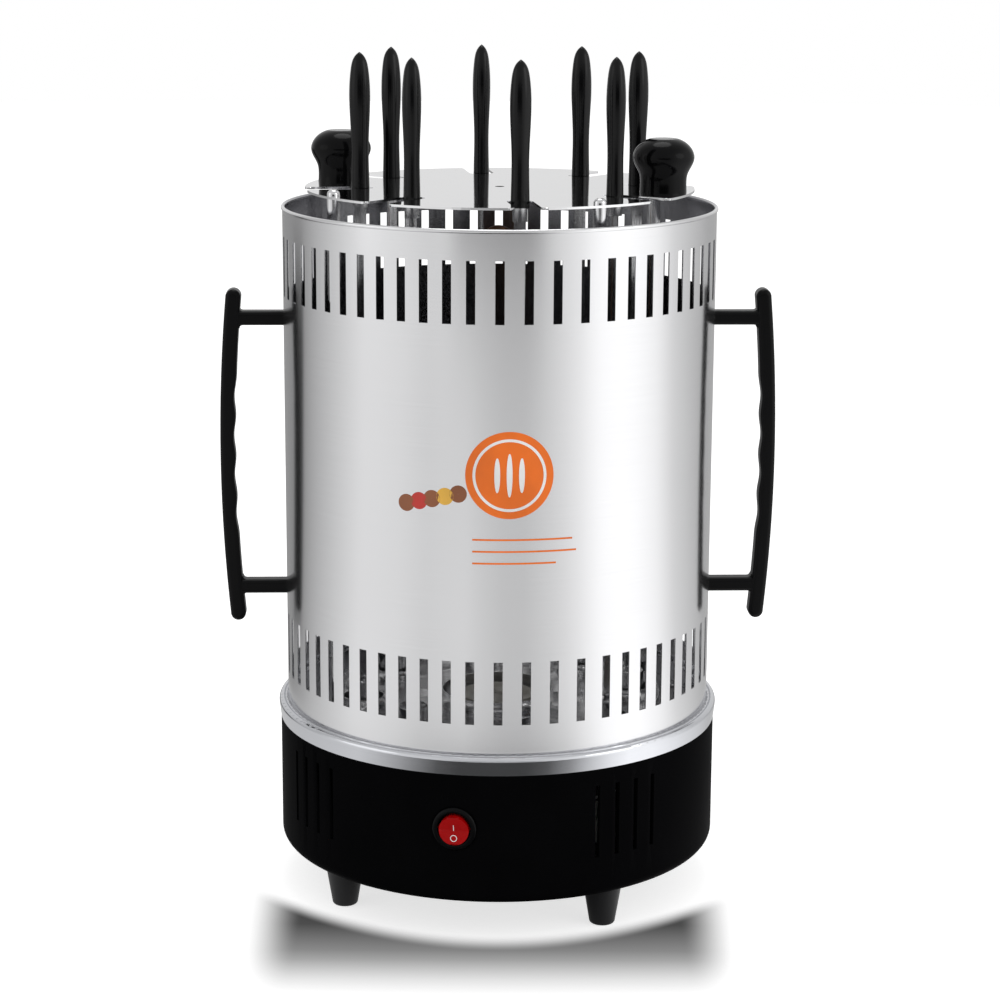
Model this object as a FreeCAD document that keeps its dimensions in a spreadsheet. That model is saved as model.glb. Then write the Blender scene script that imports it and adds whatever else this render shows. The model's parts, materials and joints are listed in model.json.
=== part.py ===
import FreeCAD, Part

import math
import os
import re

import Sketcher
from FreeCAD import Placement, Rotation, Vector

# An electric upright skewer grill: a round base with its drive, a heater in the middle,
# a rack that holds the skewers by their grips, and a slotted shell that lifts off.
# Millimetres. The origin is on the floor at the middle of the base, +Z is up and -Y is the
# side with the switch. An angle round the grill is counted from -Y towards +X.

SIZES = [
    ("foot_height", 23.5, "floor to the underside of the base"),
    ("foot_top_radius", 10.5, "foot where it meets the base"),
    ("foot_tip_radius", 6.6, "foot at the floor"),
    ("foot_tip_rounding", 1.8, "rounding at the floor"),
    ("foot_inset", 20.0, "middle of a foot inside the base's edge"),
    ("foot_turn", 45.0, "first foot, angle round the grill"),
    ("foot_recess_radius", 3.6, "recess for the screw head in a foot"),
    ("foot_recess_depth", 9.0, "depth of that recess"),
    ("base_radius", 119.0, "outside of the black base"),
    ("base_height", 70.0, "height of the black base"),
    ("base_wall", 2.6, "wall of the base"),
    ("base_corner", 6.0, "rounding of the lower corner"),
    ("flange_width", 18.0, "the base's top flange, across"),
    ("floor_width", 39.0, "the base's floor, across"),
    ("boss_radius", 4.2, "screw boss"),
    ("boss_length", 8.0, "length of a screw boss"),
    ("vent_count", 4, "vents in each group"),
    ("vent_turn", 45.0, "middle of the first group, angle round the grill"),
    ("vent_pitch", 5.7, "angle between vents"),
    ("vent_width", 2.6, "width of a vent"),
    ("vent_length", 39.0, "height of a vent"),
    ("vent_drop", 9.0, "ring down to the top of the vents"),
    ("cover_overlap", 6.0, "bottom cover over the base's floor"),
    ("cover_thickness", 1.5, "bottom cover plate"),
    ("cover_vent_circle", 52.0, "middle of the cover's vents"),
    ("cover_vent_length", 28.0, "cover vents, along the radius"),
    ("cover_vent_width", 4.0, "cover vents, across"),
    ("cover_vent_count", 12, "vents in the cover"),
    ("ring_overhang", 1.0, "bright ring beyond the base"),
    ("ring_height", 9.8, "height of the bright ring"),
    ("ring_width", 9.5, "bright ring, across"),
    ("ring_rounding", 2.4, "rounding of the ring's outer top edge"),
    ("collar_height", 2.5, "centring collar above the ring"),
    ("groove_width", 0.8, "groove round the top of the ring"),
    ("groove_depth", 0.8, "depth of that groove"),
    ("bead_width", 1.0, "bead between groove and shell seat"),
    ("seat_depth", 1.0, "shell seat below the ring's top"),
    ("deck_thickness", 1.5, "deck plate"),
    ("deck_bore", 15.6, "hole for the heater socket"),
    ("deck_screw_inset", 13.0, "screws of the deck plate inside the base's edge"),
    ("deck_screw_turn", 30.0, "first deck screw, angle round the grill"),
    ("gear_plate_margin", 11.5, "lower plate beyond the skewers' circle"),
    ("gear_plate_thickness", 1.5, "lower plate of the drive"),
    ("gear_plate_drop", 28.5, "deck's underside down to the lower plate's top"),
    ("gear_plate_bore", 16.0, "wire hole in the lower plate"),
    ("standoff_offset", 3.5, "pillars outside the skewers' circle"),
    ("standoff_radius", 4.0, "pillar"),
    ("rack_turn", -4.0, "rack and drive, angle round the grill"),
    ("skewer_count", 8, "skewers"),
    ("tooth_size", 1.45, "module of the gears"),
    ("tooth_rise", 1.05, "tooth above the pitch circle"),
    ("tooth_fall", 1.6, "tooth below the pitch circle"),
    ("tooth_play", 0.3, "play between teeth"),
    ("drive_teeth", 84, "teeth of the drive gear"),
    ("skewer_teeth", 18, "teeth of a skewer's gear"),
    ("motor_teeth", 12, "teeth of the motor's pinion"),
    ("gear_width", 8.0, "width of the gears"),
    ("gear_rise", 6.5, "lower plate up to the gears"),
    ("web_thickness", 4.0, "thinned part of the drive gear"),
    ("web_outer", 55.0, "outside of the thinned part"),
    ("hub_radius", 22.0, "fixed hub that the drive gear turns on"),
    ("hub_wall", 4.0, "wall of that hub"),
    ("hub_flange", 28.0, "flange of that hub"),
    ("running_fit", 0.05, "play of a shaft in its hole, on the radius"),
    ("slack", 0.3, "clearance between pieces that slide past"),
    ("journal_radius", 8.0, "skewer socket where it passes the deck"),
    ("spindle_radius", 3.0, "spindle below a skewer's gear"),
    ("spindle_shoulder", 5.4, "shoulder between spindle and gear"),
    ("spindle_reach", 3.0, "spindle below the lower plate"),
    ("socket_rise", 18.0, "skewer socket above the deck"),
    ("socket_depth", 14.0, "depth of the skewer's slot"),
    ("socket_mouth", 6.0, "widest part of the socket's funnel"),
    ("socket_throat", 4.2, "narrow end of the funnel"),
    ("socket_funnel", 3.0, "depth of the funnel"),
    ("motor_radius", 25.0, "geared motor"),
    ("motor_length", 21.0, "geared motor"),
    ("motor_rounding", 1.2, "motor can edges"),
    ("motor_ear_circle", 30.0, "motor's screw ears, from its shaft"),
    ("motor_ear_radius", 5.0, "end of an ear"),
    ("motor_ear_thickness", 1.6, "motor ear plate"),
    ("motor_shaft_radius", 3.5, "motor shaft"),
    ("motor_shaft_depth", 12.6, "bore for the shaft in the motor"),
    ("tray_margin", 15.5, "drip tray beyond the skewers' circle"),
    ("tray_inner", 30.0, "drip tray, inside"),
    ("tray_height", 8.0, "drip tray"),
    ("tray_wall", 0.9, "drip tray metal"),
    ("tray_hole", 11.0, "hole for a skewer socket in the tray"),
    ("tray_collar", 6.5, "height of the collar round that hole"),
    ("tray_rounding", 0.4, "tray rim"),
    ("heater_flange", 20.0, "heater socket's flange"),
    ("heater_flange_height", 7.0, "height of that flange"),
    ("heater_neck", 15.2, "heater socket below the deck"),
    ("heater_neck_length", 12.0, "heater socket below the deck"),
    ("heater_tube", 4.0, "radius of the heater's tube"),
    ("heater_spread", 10.0, "heater leg from the middle"),
    ("heater_top", 360.5, "top of the heater above the floor"),
    ("heater_turn", -32.0, "plane of the heater's bend"),
    ("post_radius", 3.5, "rack post"),
    ("post_offset", 24.5, "rack posts outside the skewers' circle"),
    ("post_spigot", 2.4, "post's pin in the deck"),
    ("plate_margin", 29.0, "rack's top plate beyond the skewers' circle"),
    ("plate_thickness", 1.2, "rack's top plate"),
    ("plate_top", 381.0, "top of that plate above the floor"),
    ("plate_hole", 2.5, "hole in the middle of the plate"),
    ("notch_width", 13.4, "notch for a skewer"),
    ("notch_flare", 3.0, "rounding at a notch's mouth"),
    ("nut_radius", 3.3, "cap nut on a post"),
    ("nut_height", 3.2, "cap nut on a post"),
    ("knob_offset", 14.0, "knobs outside the skewers' circle"),
    ("knob_height", 27.5, "knob"),
    ("knob_head", 16.0, "radius of a knob's head"),
    ("knob_head_height", 18.2, "widest part above the plate"),
    ("knob_neck", 12.1, "radius of a knob's neck"),
    ("knob_foot", 12.3, "radius of a knob's foot"),
    ("knob_disc", 7.0, "flat disc on a knob"),
    ("knob_bore", 2.05, "knob's screw hole"),
    ("knob_bore_depth", 16.0, "knob's screw hole"),
    ("blade_width", 6.0, "skewer blade"),
    ("blade_thickness", 1.2, "skewer blade"),
    ("blade_point", 6.0, "pointed end of a blade"),
    ("blade_tang", 26.0, "blade inside its grip"),
    ("ferrule_radius", 3.8, "ferrule below a grip"),
    ("ferrule_length", 7.0, "ferrule below a grip"),
    ("grip_drop", 3.0, "grip's lower end below the plate's top"),
    ("grip_length", 73.5, "skewer grip"),
    ("grip_bulge", 5.5, "half the grip's width at its bulge"),
    ("grip_waist", 4.55, "half the grip's width at its waist"),
    ("grip_base", 4.9, "half the grip's width at its lower end"),
    ("grip_flatness", 0.88, "grip's thickness over its width"),
    ("shell_turn", 12.6, "shell and its handles, angle round the grill"),
    ("shell_inset", 5.0, "shell inside the ring's edge"),
    ("shell_wall", 0.8, "shell metal"),
    ("shell_top", 371.8, "shell's rim above the floor"),
    ("rim_radius", 1.1, "rolled rim of the shell"),
    ("slot_count", 58, "slots in one row"),
    ("slot_turn", -9.1, "first slot, angle from the shell's middle line"),
    ("slot_gap_wide", 7.2, "slot to slot in front and in the rear, angle"),
    ("slot_wide_count", 5, "wide gaps in front, and as many in the rear"),
    ("slot_width", 4.6, "slot"),
    ("upper_slot_low", 324.8, "upper row, lower end above the floor"),
    ("upper_slot_high", 356.3, "upper row, upper end above the floor"),
    ("lower_slot_low", 119.3, "lower row, lower end above the floor"),
    ("lower_slot_high", 152.4, "lower row, upper end above the floor"),
    ("handle_stand", 34.8, "outside of a side handle, from the shell"),
    ("handle_grip", 8.2, "handle bar, across the radius"),
    ("handle_width", 12.0, "handle bar, along the shell"),
    ("handle_upper_arm", 311.2, "upper arm above the floor"),
    ("handle_arm_gap", 147.3, "upper arm to lower arm"),
    ("handle_upper_end", 15.6, "bar above the upper arm"),
    ("handle_lower_end", 18.8, "bar below the lower arm"),
    ("handle_bow", 4.5, "bar bows out by this"),
    ("finger_count", 4, "finger grooves inside the bar"),
    ("finger_depth", 1.0, "finger groove"),
    ("finger_pitch", 21.8, "one finger groove to the next"),
    ("arm_thickness", 7.6, "handle arm, height"),
    ("arm_width", 10.0, "handle arm, along the shell"),
    ("arm_flare", 1.8, "an arm widens by this where it meets the bar"),
    ("handle_rounding", 2.6, "rounding of the handle's edges"),
    ("handle_bore", 1.7, "screw hole in a handle arm"),
    ("handle_bore_depth", 14.0, "screw hole in a handle arm"),
    ("switch_height", 41.0, "switch above the underside of the base"),
    ("switch_bezel", 11.6, "radius of the switch's bezel"),
    ("switch_bezel_height", 2.4, "bezel above its seat"),
    ("switch_seat", 1.0, "seat cut into the base's wall"),
    ("switch_body", 9.8, "radius of the switch behind the wall"),
    ("switch_body_length", 20.0, "switch behind its seat"),
    ("switch_recess", 8.6, "radius of the recess for the rocker"),
    ("switch_recess_depth", 6.5, "recess for the rocker"),
    ("rocker_radius", 7.8, "rocker button"),
    ("rocker_depth", 4.2, "rocker button behind the bezel's face"),
    ("rocker_proud", 1.6, "rocker's ends in front of the bezel"),
    ("rocker_slope", 9.0, "slope of each half of the rocker"),
    ("rocker_tilt", 7.0, "rocker's lean to either side"),
    ("rocker_pin", 0.9, "radius of the pin that the rocker turns on"),
    ("rocker_pin_rise", 1.2, "pin in front of the rocker's back"),
    ("rocker_pin_end", 0.4, "pin's end in the switch"),
    ("switch_bevel", 0.9, "bevel of the bezel"),
    ("tab_width", 4.8, "connecting tab of the switch"),
    ("tab_thickness", 0.8, "connecting tab of the switch"),
    ("tab_length", 8.0, "connecting tab of the switch"),
    ("tab_pitch", 5.6, "one tab to the next"),
    ("gland_height", 22.0, "cord gland above the underside of the base"),
    ("gland_radius", 6.0, "cord gland in the wall"),
    ("gland_flange", 8.5, "cord gland's flange"),
    ("gland_bore", 3.4, "hole for the cord"),
    ("gland_length", 3.9, "cord gland in front of the wall"),
    ("gland_lip", 0.8, "lip of the gland behind the wall"),
    ("gland_play", 0.6, "wall to that lip, on the middle line"),
    ("terminal_width", 12.0, "terminal block"),
    ("terminal_length", 30.0, "terminal block"),
    ("terminal_height", 14.0, "terminal block"),
    ("terminal_place", 58.0, "terminal block, from the middle"),
    ("beyond", 1.0, "how far a cut runs past a surface"),
    ("bevel", 1.0, "bevels on turned pieces"),
    ("screw_radius", 1.5, "small screw"),
    ("screw_head", 2.8, "small screw head"),
    ("screw_head_height", 1.8, "small screw head"),
    ("screw_play", 0.15, "small screw in a plate's hole"),
]

# Sizes that follow from the ones above, each a sum that the sheet works out too.
DERIVED = {
    "foot_circle": "base_radius - foot_inset",
    "flange_inner": "base_radius - flange_width",
    "floor_opening": "base_radius - floor_width",
    "cover_radius": "floor_opening + cover_overlap",
    "cover_screw_circle": "floor_opening + cover_overlap/2",
    "ring_radius": "base_radius + ring_overhang",
    "ring_inner": "ring_radius - ring_width",
    "deck_radius": "ring_inner - slack",
    "deck_screw_circle": "base_radius - deck_screw_inset",
    "shell_radius": "ring_radius - shell_inset",
    "handle_reach": "shell_radius + handle_stand",
    "slot_narrow_count": "slot_count/2 - slot_wide_count",
    "slot_narrow_span": "180 - slot_wide_count*slot_gap_wide",
    "slot_gap": "slot_narrow_span/slot_narrow_count",
    "ring_bottom": "foot_height + base_height",
    "ring_top": "ring_bottom + ring_height",
    "shell_bottom": "ring_top - seat_depth",
    "shell_inner": "shell_radius - shell_wall",
    "seat_outer": "shell_radius + 2*slack",
    "collar_outer": "shell_inner - 2*slack",
    "deck_top": "ring_bottom + deck_thickness",
    "gear_plate_top": "ring_bottom - gear_plate_drop",
    "gear_plate_bottom": "gear_plate_top - gear_plate_thickness",
    "gear_bottom": "gear_plate_top + gear_rise",
    "gear_top": "gear_bottom + gear_width",
    "drive_pitch": "drive_teeth*tooth_size/2",
    "skewer_pitch": "skewer_teeth*tooth_size/2",
    "motor_pitch": "motor_teeth*tooth_size/2",
    "skewer_circle": "drive_pitch + skewer_pitch",
    "motor_circle": "drive_pitch + motor_pitch",
    "gear_plate_radius": "skewer_circle + gear_plate_margin",
    "standoff_circle": "skewer_circle + standoff_offset",
    "tray_outer": "skewer_circle + tray_margin",
    "post_circle": "skewer_circle + post_offset",
    "plate_radius": "skewer_circle + plate_margin",
    "knob_circle": "skewer_circle + knob_offset",
    "skewer_step": "360/skewer_count",
    "socket_top": "deck_top + socket_rise",
    "blade_bottom": "socket_top - socket_depth",
    "plate_bottom": "plate_top - plate_thickness",
    "grip_bottom": "plate_top - grip_drop",
    "grip_top": "grip_bottom + grip_length",
    "switch_level": "foot_height + switch_height",
    "switch_face": "base_radius - switch_seat",
    "gland_level": "foot_height + gland_height",
    "heater_foot": "ring_bottom - heater_neck_length + base_wall",
    "tray_floor": "deck_top + screw_head_height",
    "ear_offset": "motor_ear_circle*0.7071",
}

# Feet, posts, pillars, screws and groups of vents stand in rings of this many.
RING_COUNT = 4

# Each skewer stands turned by this many teeth of its gear, as it was put in.
SKEWER_STEPS = (0, 2, 5, 1, 4, 7, 3, 6)

NAMES = re.compile(r"[a-z_]+")
document = FreeCAD.newDocument("skewer_grill")
sheet = document.addObject("Spreadsheet::Sheet", "Sizes")


def fill_sheet():
    """Write each driving size, its alias and its meaning into the sheet."""
    for row, (name, amount, meaning) in enumerate(SIZES, start=1):
        sheet.set(f"A{row}", meaning)
        sheet.set(f"B{row}", str(amount))
        sheet.setAlias(f"B{row}", name)
    document.recompute()


def number(text):
    """Work out a sum of products of named sizes and plain numbers."""
    total = 0.0
    for sign, term in re.findall(r"([+-]?)\s*([^+-]+)", str(text)):
        product = 1.0
        for operator, factor in re.findall(r"([*/]?)\s*([a-z_]+|[\d.]+)", term):
            amount = named(factor) if NAMES.fullmatch(factor) else float(factor)
            product = product / amount if operator == "/" else product * amount
        total += -product if sign == "-" else product
    return total


def named(name):
    """The value of a driving or derived size."""
    if name in DERIVED:
        return number(DERIVED[name])
    return float(sheet.get(name))


def bound(text):
    """The same sum as an expression on the sheet's cells."""
    def cell(match):
        name = match.group()
        if name in DERIVED:
            return "(" + bound(DERIVED[name]) + ")"
        return "Sizes." + name
    return NAMES.sub(cell, str(text))


def bind(thing, target, text):
    """Tie one property of an object to the sheet."""
    thing.setExpression(target, bound(text))


def body(label, turn=None, away=None, rise=None):
    """Start a body, turned about the grill's axis and then moved out along its own -Y."""
    piece = document.addObject("PartDesign::Body", label)
    piece.Label = label
    place(piece, turn, away, rise)
    return piece


def place(piece, turn=None, away=None, rise=None):
    """Place a piece by its angle round the grill, its distance from the axis and its height."""
    piece.Placement = Placement(Vector(), Rotation(Vector(0, 0, 1), 1 if turn else 0))
    if turn:
        bind(piece, "Placement.Rotation.Angle", turn)
    if away:
        angle = bound(turn) if turn else "0"
        piece.setExpression("Placement.Base.x", f"({bound(away)}) * sin(({angle}) * 1 deg)")
        piece.setExpression("Placement.Base.y", f"-({bound(away)}) * cos(({angle}) * 1 deg)")
    if rise:
        bind(piece, "Placement.Base.z", rise)


def origin_part(piece, role):
    """One of a body's origin planes or axes."""
    return next(part for part in piece.Origin.OriginFeatures if part.Role == role)


def sketch(piece, plane, name, shift=None, turn=None):
    """A sketch on an origin plane, shifted along its normal and turned about its own Y."""
    drawing = piece.newObject("Sketcher::SketchObject", name)
    drawing.AttachmentSupport = [(origin_part(piece, plane), "")]
    drawing.MapMode = "FlatFace"
    axis = Vector(0, 1, 0) if plane == "XZ_Plane" else Vector(0, 0, 1)
    drawing.AttachmentOffset = Placement(Vector(), Rotation(axis, 1 if turn else 0))
    if turn:
        bind(drawing, "AttachmentOffset.Rotation.Angle", turn)
    if shift and turn and plane == "XZ_Plane":
        out, angle = bound(shift), f"(({bound(turn)}) * 1 deg)"
        drawing.setExpression("AttachmentOffset.Base.x", f"({out}) * sin{angle}")
        drawing.setExpression("AttachmentOffset.Base.z", f"({out}) * cos{angle}")
    elif shift:
        bind(drawing, "AttachmentOffset.Base.z", shift)
    return drawing


def fix_point(drawing, line, end, across, up):
    """Hold one end of a line at a place given by two sums of sizes."""
    for kind, text, axis in (("DistanceX", across, -2), ("DistanceY", up, -1)):
        amount = number(text)
        if abs(amount) < 1e-9:
            drawing.addConstraint(Sketcher.Constraint("PointOnObject", line, end, axis))
            continue
        rule = drawing.addConstraint(Sketcher.Constraint(kind, -1, 1, line, end, amount))
        drawing.setExpression(f"Constraints[{rule}]", bound(text))


def outline(drawing, corners):
    """Draw a closed outline through corners given as pairs of sums."""
    points = [Vector(number(across), number(up), 0) for across, up in corners]
    first = drawing.GeometryCount
    for start, end in zip(points, points[1:] + points[:1]):
        drawing.addGeometry(Part.LineSegment(start, end), False)
    count = len(points)
    for index in range(count):
        following = first + (index + 1) % count
        drawing.addConstraint(Sketcher.Constraint("Coincident", first + index, 2, following, 1))
    for index, (across, up) in enumerate(corners):
        fix_point(drawing, first + index, 1, across, up)


def circle(drawing, across, up, radius):
    """Draw a circle whose centre and radius are sums of sizes."""
    centre = Vector(number(across), number(up), 0)
    shape = drawing.addGeometry(Part.Circle(centre, Vector(0, 0, 1), number(radius)), False)
    rule = drawing.addConstraint(Sketcher.Constraint("Radius", shape, number(radius)))
    drawing.setExpression(f"Constraints[{rule}]", bound(radius))
    fix_point(drawing, shape, 3, across, up)


def rectangle(drawing, left, right, low, high):
    """Draw an upright rectangle."""
    outline(drawing, [(left, low), (right, low), (right, high), (left, high)])


def revolve(piece, corners, name="Profile"):
    """Turn a profile of radius and height about the body's Z axis."""
    drawing = sketch(piece, "XZ_Plane", name)
    outline(drawing, corners)
    turned = piece.newObject("PartDesign::Revolution", name + "Turned")
    turned.Profile = drawing
    turned.ReferenceAxis = (drawing, ["V_Axis"])
    turned.Angle = 360
    document.recompute()
    return turned


def extrude(piece, kind, drawing, length, backwards=False):
    """Pad or pocket a sketch by a length; a pocket has to remove something."""
    before = piece.Shape.Volume if kind == "Pocket" else 0
    feature = piece.newObject("PartDesign::" + kind, drawing.Name + kind)
    feature.Profile = drawing
    feature.Reversed = backwards
    bind(feature, "Length", length)
    document.recompute()
    if kind == "Pocket" and piece.Shape.Volume > before - 1e-3:
        raise ValueError(f"{piece.Label}: {drawing.Name} cuts nothing")
    return feature


def around(piece, features, count, name, span="360"):
    """Repeat features evenly round the body's Z axis, over the whole turn or a span of it."""
    pattern = piece.newObject("PartDesign::PolarPattern", name)
    pattern.Originals = features
    pattern.Axis = (origin_part(piece, "Z_Axis"), [""])
    bind(pattern, "Angle", span)
    bind(pattern, "Occurrences", count)
    piece.Tip = pattern
    document.recompute()
    return pattern


def soften(piece, radius, choose):
    """Round the edges of a body that a test picks."""
    tip = piece.Tip
    edges = [f"Edge{index}" for index, edge in enumerate(tip.Shape.Edges, 1) if choose(edge)]
    if not edges:
        raise ValueError(f"{piece.Label}: no edge to round")
    feature = piece.newObject("PartDesign::Fillet", "Rounding")
    feature.Base = (tip, edges)
    bind(feature, "Radius", radius)
    document.recompute()
    return feature


def ring_edge(radius, level):
    """A test for a circular edge of a radius at a height."""
    def found(edge):
        curve = edge.Curve
        return (isinstance(curve, Part.Circle) and abs(curve.Radius - number(radius)) < 0.01
                and abs(curve.Center.z - number(level)) < 0.01)
    return found


def drill(piece, across, up, radius, top, depth, name, turn=None):
    """A round hole down from a level, at a place in plan."""
    drawing = sketch(piece, "XY_Plane", name, shift=top, turn=turn)
    circle(drawing, across, up, radius)
    return extrude(piece, "Pocket", drawing, depth)


def solid(label, shape, turn=None, away=None, rise=None):
    """A piece whose shape is worked out here from the sheet's values."""
    piece = document.addObject("Part::Feature", label)
    piece.Label = label
    piece.Shape = shape
    place(piece, turn, away, rise)
    return piece


def spun(profile):
    """A solid turned about Z from plain radius and height pairs."""
    points = [Vector(radius, 0, height) for radius, height in profile]
    face = Part.Face(Part.makePolygon(points + points[:1]))
    return face.revolve(Vector(), Vector(0, 0, 1), 360)


def turned_about(shape, angle, axis=Vector(0, 0, 1)):
    """A copy of a shape turned about an axis through the origin."""
    return shape.transformed(Placement(Vector(), Rotation(axis, angle)).toMatrix(), True)


def moved(shape, across, along, up):
    """A copy of a shape moved by three distances."""
    return shape.transformed(Placement(Vector(across, along, up), Rotation()).toMatrix(), True)


def screw(shank, length):
    """A pan-head screw: its head stands above level 0 and its shank below."""
    radius = number(shank)
    head = number("screw_head")*radius/number("screw_radius")
    height = number("screw_head_height")*radius/number("screw_radius")
    crown = 0.7*head
    shoulder = 0.55*height
    profile = [(0, -length), (radius, -length), (radius, 0), (head, 0),
               (head, shoulder), (crown, height), (0, height)]
    long, narrow, deep = 1.3*head, 0.22*head, 0.4*height
    driver = moved(Part.makeBox(long, narrow, deep), -long/2, -narrow/2, height - deep)
    return spun(profile).cut(driver)


def ring_of(shape, count, away, level="0", turn="0"):
    """Equal copies of a shape on a circle, as one group of separate solids."""
    outer = moved(shape, 0, -number(away), number(level))
    first = number(turn)
    return Part.makeCompound([turned_about(outer, first + 360*index/count) for index in range(count)])


def make_base_housing():
    """The black base: wall, rounded lower corner, floor, flange, bosses and vents."""
    piece = body("base_housing")
    low = "foot_height"
    revolve(piece, [
        ("floor_opening", low), ("base_radius", low), ("base_radius", "ring_bottom"),
        ("flange_inner", "ring_bottom"), ("flange_inner", "ring_bottom - base_wall"),
        ("base_radius - base_wall", "ring_bottom - base_wall"),
        ("base_radius - base_wall", "foot_height + base_wall"),
        ("floor_opening", "foot_height + base_wall")])
    soften(piece, "base_corner", ring_edge("base_radius", low))
    soften(piece, "base_corner - base_wall",
           ring_edge("base_radius - base_wall", "foot_height + base_wall"))
    posts = (
        ("DeckBoss", "deck_screw_circle", "deck_screw_turn", "ring_bottom - base_wall", True),
        ("FootBoss", "foot_circle", "foot_turn", "foot_height + base_wall", False))
    for name, away, turn, level, hangs in posts:
        drawing = sketch(piece, "XY_Plane", name, shift=level, turn=turn)
        circle(drawing, "0", f"0 - {away}", "boss_radius")
        boss = extrude(piece, "Pad", drawing, "boss_length", backwards=hangs)
        top = "ring_bottom" if hangs else "foot_height + base_wall + boss_length"
        hole = drill(piece, "0", f"0 - {away}", "screw_radius + screw_play", top,
                     "boss_length + base_wall", name + "Hole", turn=turn)
        around(piece, [boss, hole], RING_COUNT, name + "s")
    hole = drill(piece, "0", "0 - cover_screw_circle", "screw_radius + screw_play",
                 "foot_height + base_wall", "base_wall", "CoverHole")
    around(piece, [hole], RING_COUNT, "CoverHoles")
    vents = []
    for index in range(int(number("vent_count"))):
        steps = index - (number("vent_count") - 1)/2
        side = "+" if steps > 0 else "-"
        drawing = sketch(piece, "XZ_Plane", f"Vent{index + 1}", shift="base_radius - 2*base_wall",
                         turn=f"vent_turn {side} vent_pitch*{abs(steps)}")
        rectangle(drawing, "0 - vent_width/2", "vent_width/2",
                  "ring_bottom - vent_drop - vent_length", "ring_bottom - vent_drop")
        vents.append(extrude(piece, "Pocket", drawing, "3*base_wall", backwards=True))
    around(piece, vents, RING_COUNT, "Vents")
    seat = sketch(piece, "XZ_Plane", "SwitchSeat", shift="switch_face")
    circle(seat, "0", "switch_level", "switch_bezel + slack")
    extrude(piece, "Pocket", seat, "switch_seat + beyond", backwards=True)
    hole = sketch(piece, "XZ_Plane", "SwitchHole")
    circle(hole, "0", "switch_level", "switch_body + screw_play")
    extrude(piece, "Pocket", hole, "base_radius + beyond", backwards=True)
    hole = sketch(piece, "XZ_Plane", "GlandHole")
    circle(hole, "0", "gland_level", "gland_radius")
    extrude(piece, "Pocket", hole, "base_radius + beyond")
    return piece


def make_bottom_cover():
    """The plate that closes the base's floor, with vents round its middle."""
    piece = body("bottom_cover")
    drawing = sketch(piece, "XY_Plane", "Plate", shift="foot_height")
    circle(drawing, "0", "0", "cover_radius")
    extrude(piece, "Pad", drawing, "cover_thickness", backwards=True)
    drawing = sketch(piece, "XY_Plane", "CoverVent", shift="foot_height")
    rectangle(drawing, "0 - cover_vent_width/2", "cover_vent_width/2",
              "cover_vent_circle - cover_vent_length/2", "cover_vent_circle + cover_vent_length/2")
    vent = extrude(piece, "Pocket", drawing, "cover_thickness")
    around(piece, [vent], "cover_vent_count", "CoverVents")
    hole = drill(piece, "0", "0 - cover_screw_circle", "screw_radius + screw_play",
                 "foot_height", "cover_thickness", "ScrewHole")
    around(piece, [hole], RING_COUNT, "ScrewHoles")
    return piece


def base_envelope():
    """The base's outside as one plain solid, for trimming what stands under it."""
    radius = number("base_radius")
    low = number("foot_height")
    corner = number("base_corner")
    block = Part.makeCylinder(radius, number("base_height"), Vector(0, 0, low))
    edge = next(e for e in block.Edges if isinstance(e.Curve, Part.Circle)
                and abs(e.Curve.Center.z - low) < 0.01)
    return block.makeFillet(corner, [edge])


def make_feet():
    """Four tapered feet, each cut to the base's rounded corner, with a screw recess."""
    rise = number("foot_height + base_corner")
    top = number("foot_top_radius")
    tip = number("foot_tip_radius")
    slope = (top - tip)/number("foot_height")
    cone = Part.makeCone(tip, tip + slope*rise, rise)
    rim = next(e for e in cone.Edges if isinstance(e.Curve, Part.Circle)
               and abs(e.Curve.Center.z) < 0.01)
    cone = cone.makeFillet(number("foot_tip_rounding"), [rim])
    recess = Part.makeCylinder(number("foot_recess_radius"), number("foot_recess_depth"))
    hole = Part.makeCylinder(number("screw_radius + screw_play"), rise)
    away = number("foot_circle")
    master = moved(cone.cut(recess).cut(hole), 0, -away, 0).cut(base_envelope())
    for index, name in enumerate(("front_right", "rear_right", "rear_left", "front_left")):
        solid("foot_" + name, moved(master, 0, away, 0), turn=f"foot_turn + {90*index}",
              away="foot_circle")


def make_base_ring():
    """The bright ring on the base: a grooved top, the shell's seat and a collar."""
    piece = body("base_ring")
    groove_in = "seat_outer + bead_width"
    groove_out = groove_in + " + groove_width"
    revolve(piece, [
        ("ring_inner", "ring_bottom"), ("ring_radius", "ring_bottom"),
        ("ring_radius", "ring_top"), (groove_out, "ring_top"),
        (groove_out, "ring_top - groove_depth"), (groove_in, "ring_top - groove_depth"),
        (groove_in, "ring_top"), ("seat_outer", "ring_top"), ("seat_outer", "shell_bottom"),
        ("collar_outer", "shell_bottom"), ("collar_outer", "ring_top + collar_height"),
        ("ring_inner", "ring_top + collar_height")])
    soften(piece, "ring_rounding", ring_edge("ring_radius", "ring_top"))
    return piece


def make_deck_plate():
    """The metal plate that closes the base and carries the drive and the heater."""
    piece = body("deck_plate", turn="rack_turn")
    drawing = sketch(piece, "XY_Plane", "Plate", shift="ring_bottom")
    circle(drawing, "0", "0", "deck_radius")
    circle(drawing, "0", "0", "deck_bore")
    extrude(piece, "Pad", drawing, "deck_thickness")
    holes = (
        ("Socket", "skewer_circle", "journal_radius + running_fit", "skewer_step/2", "skewer_count"),
        ("Post", "post_circle", "post_spigot + slack", "skewer_step", RING_COUNT),
        ("Pillar", "standoff_circle", "screw_radius + screw_play", "skewer_step", RING_COUNT),
        ("Screw", "deck_screw_circle", "screw_radius + screw_play", "deck_screw_turn - rack_turn",
         RING_COUNT))
    for name, away, radius, turn, count in holes:
        hole = drill(piece, "0", f"0 - {away}", radius, "deck_top", "deck_thickness",
                     name + "Hole", turn=turn)
        around(piece, [hole], count, name + "Holes")
    return piece


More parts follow.
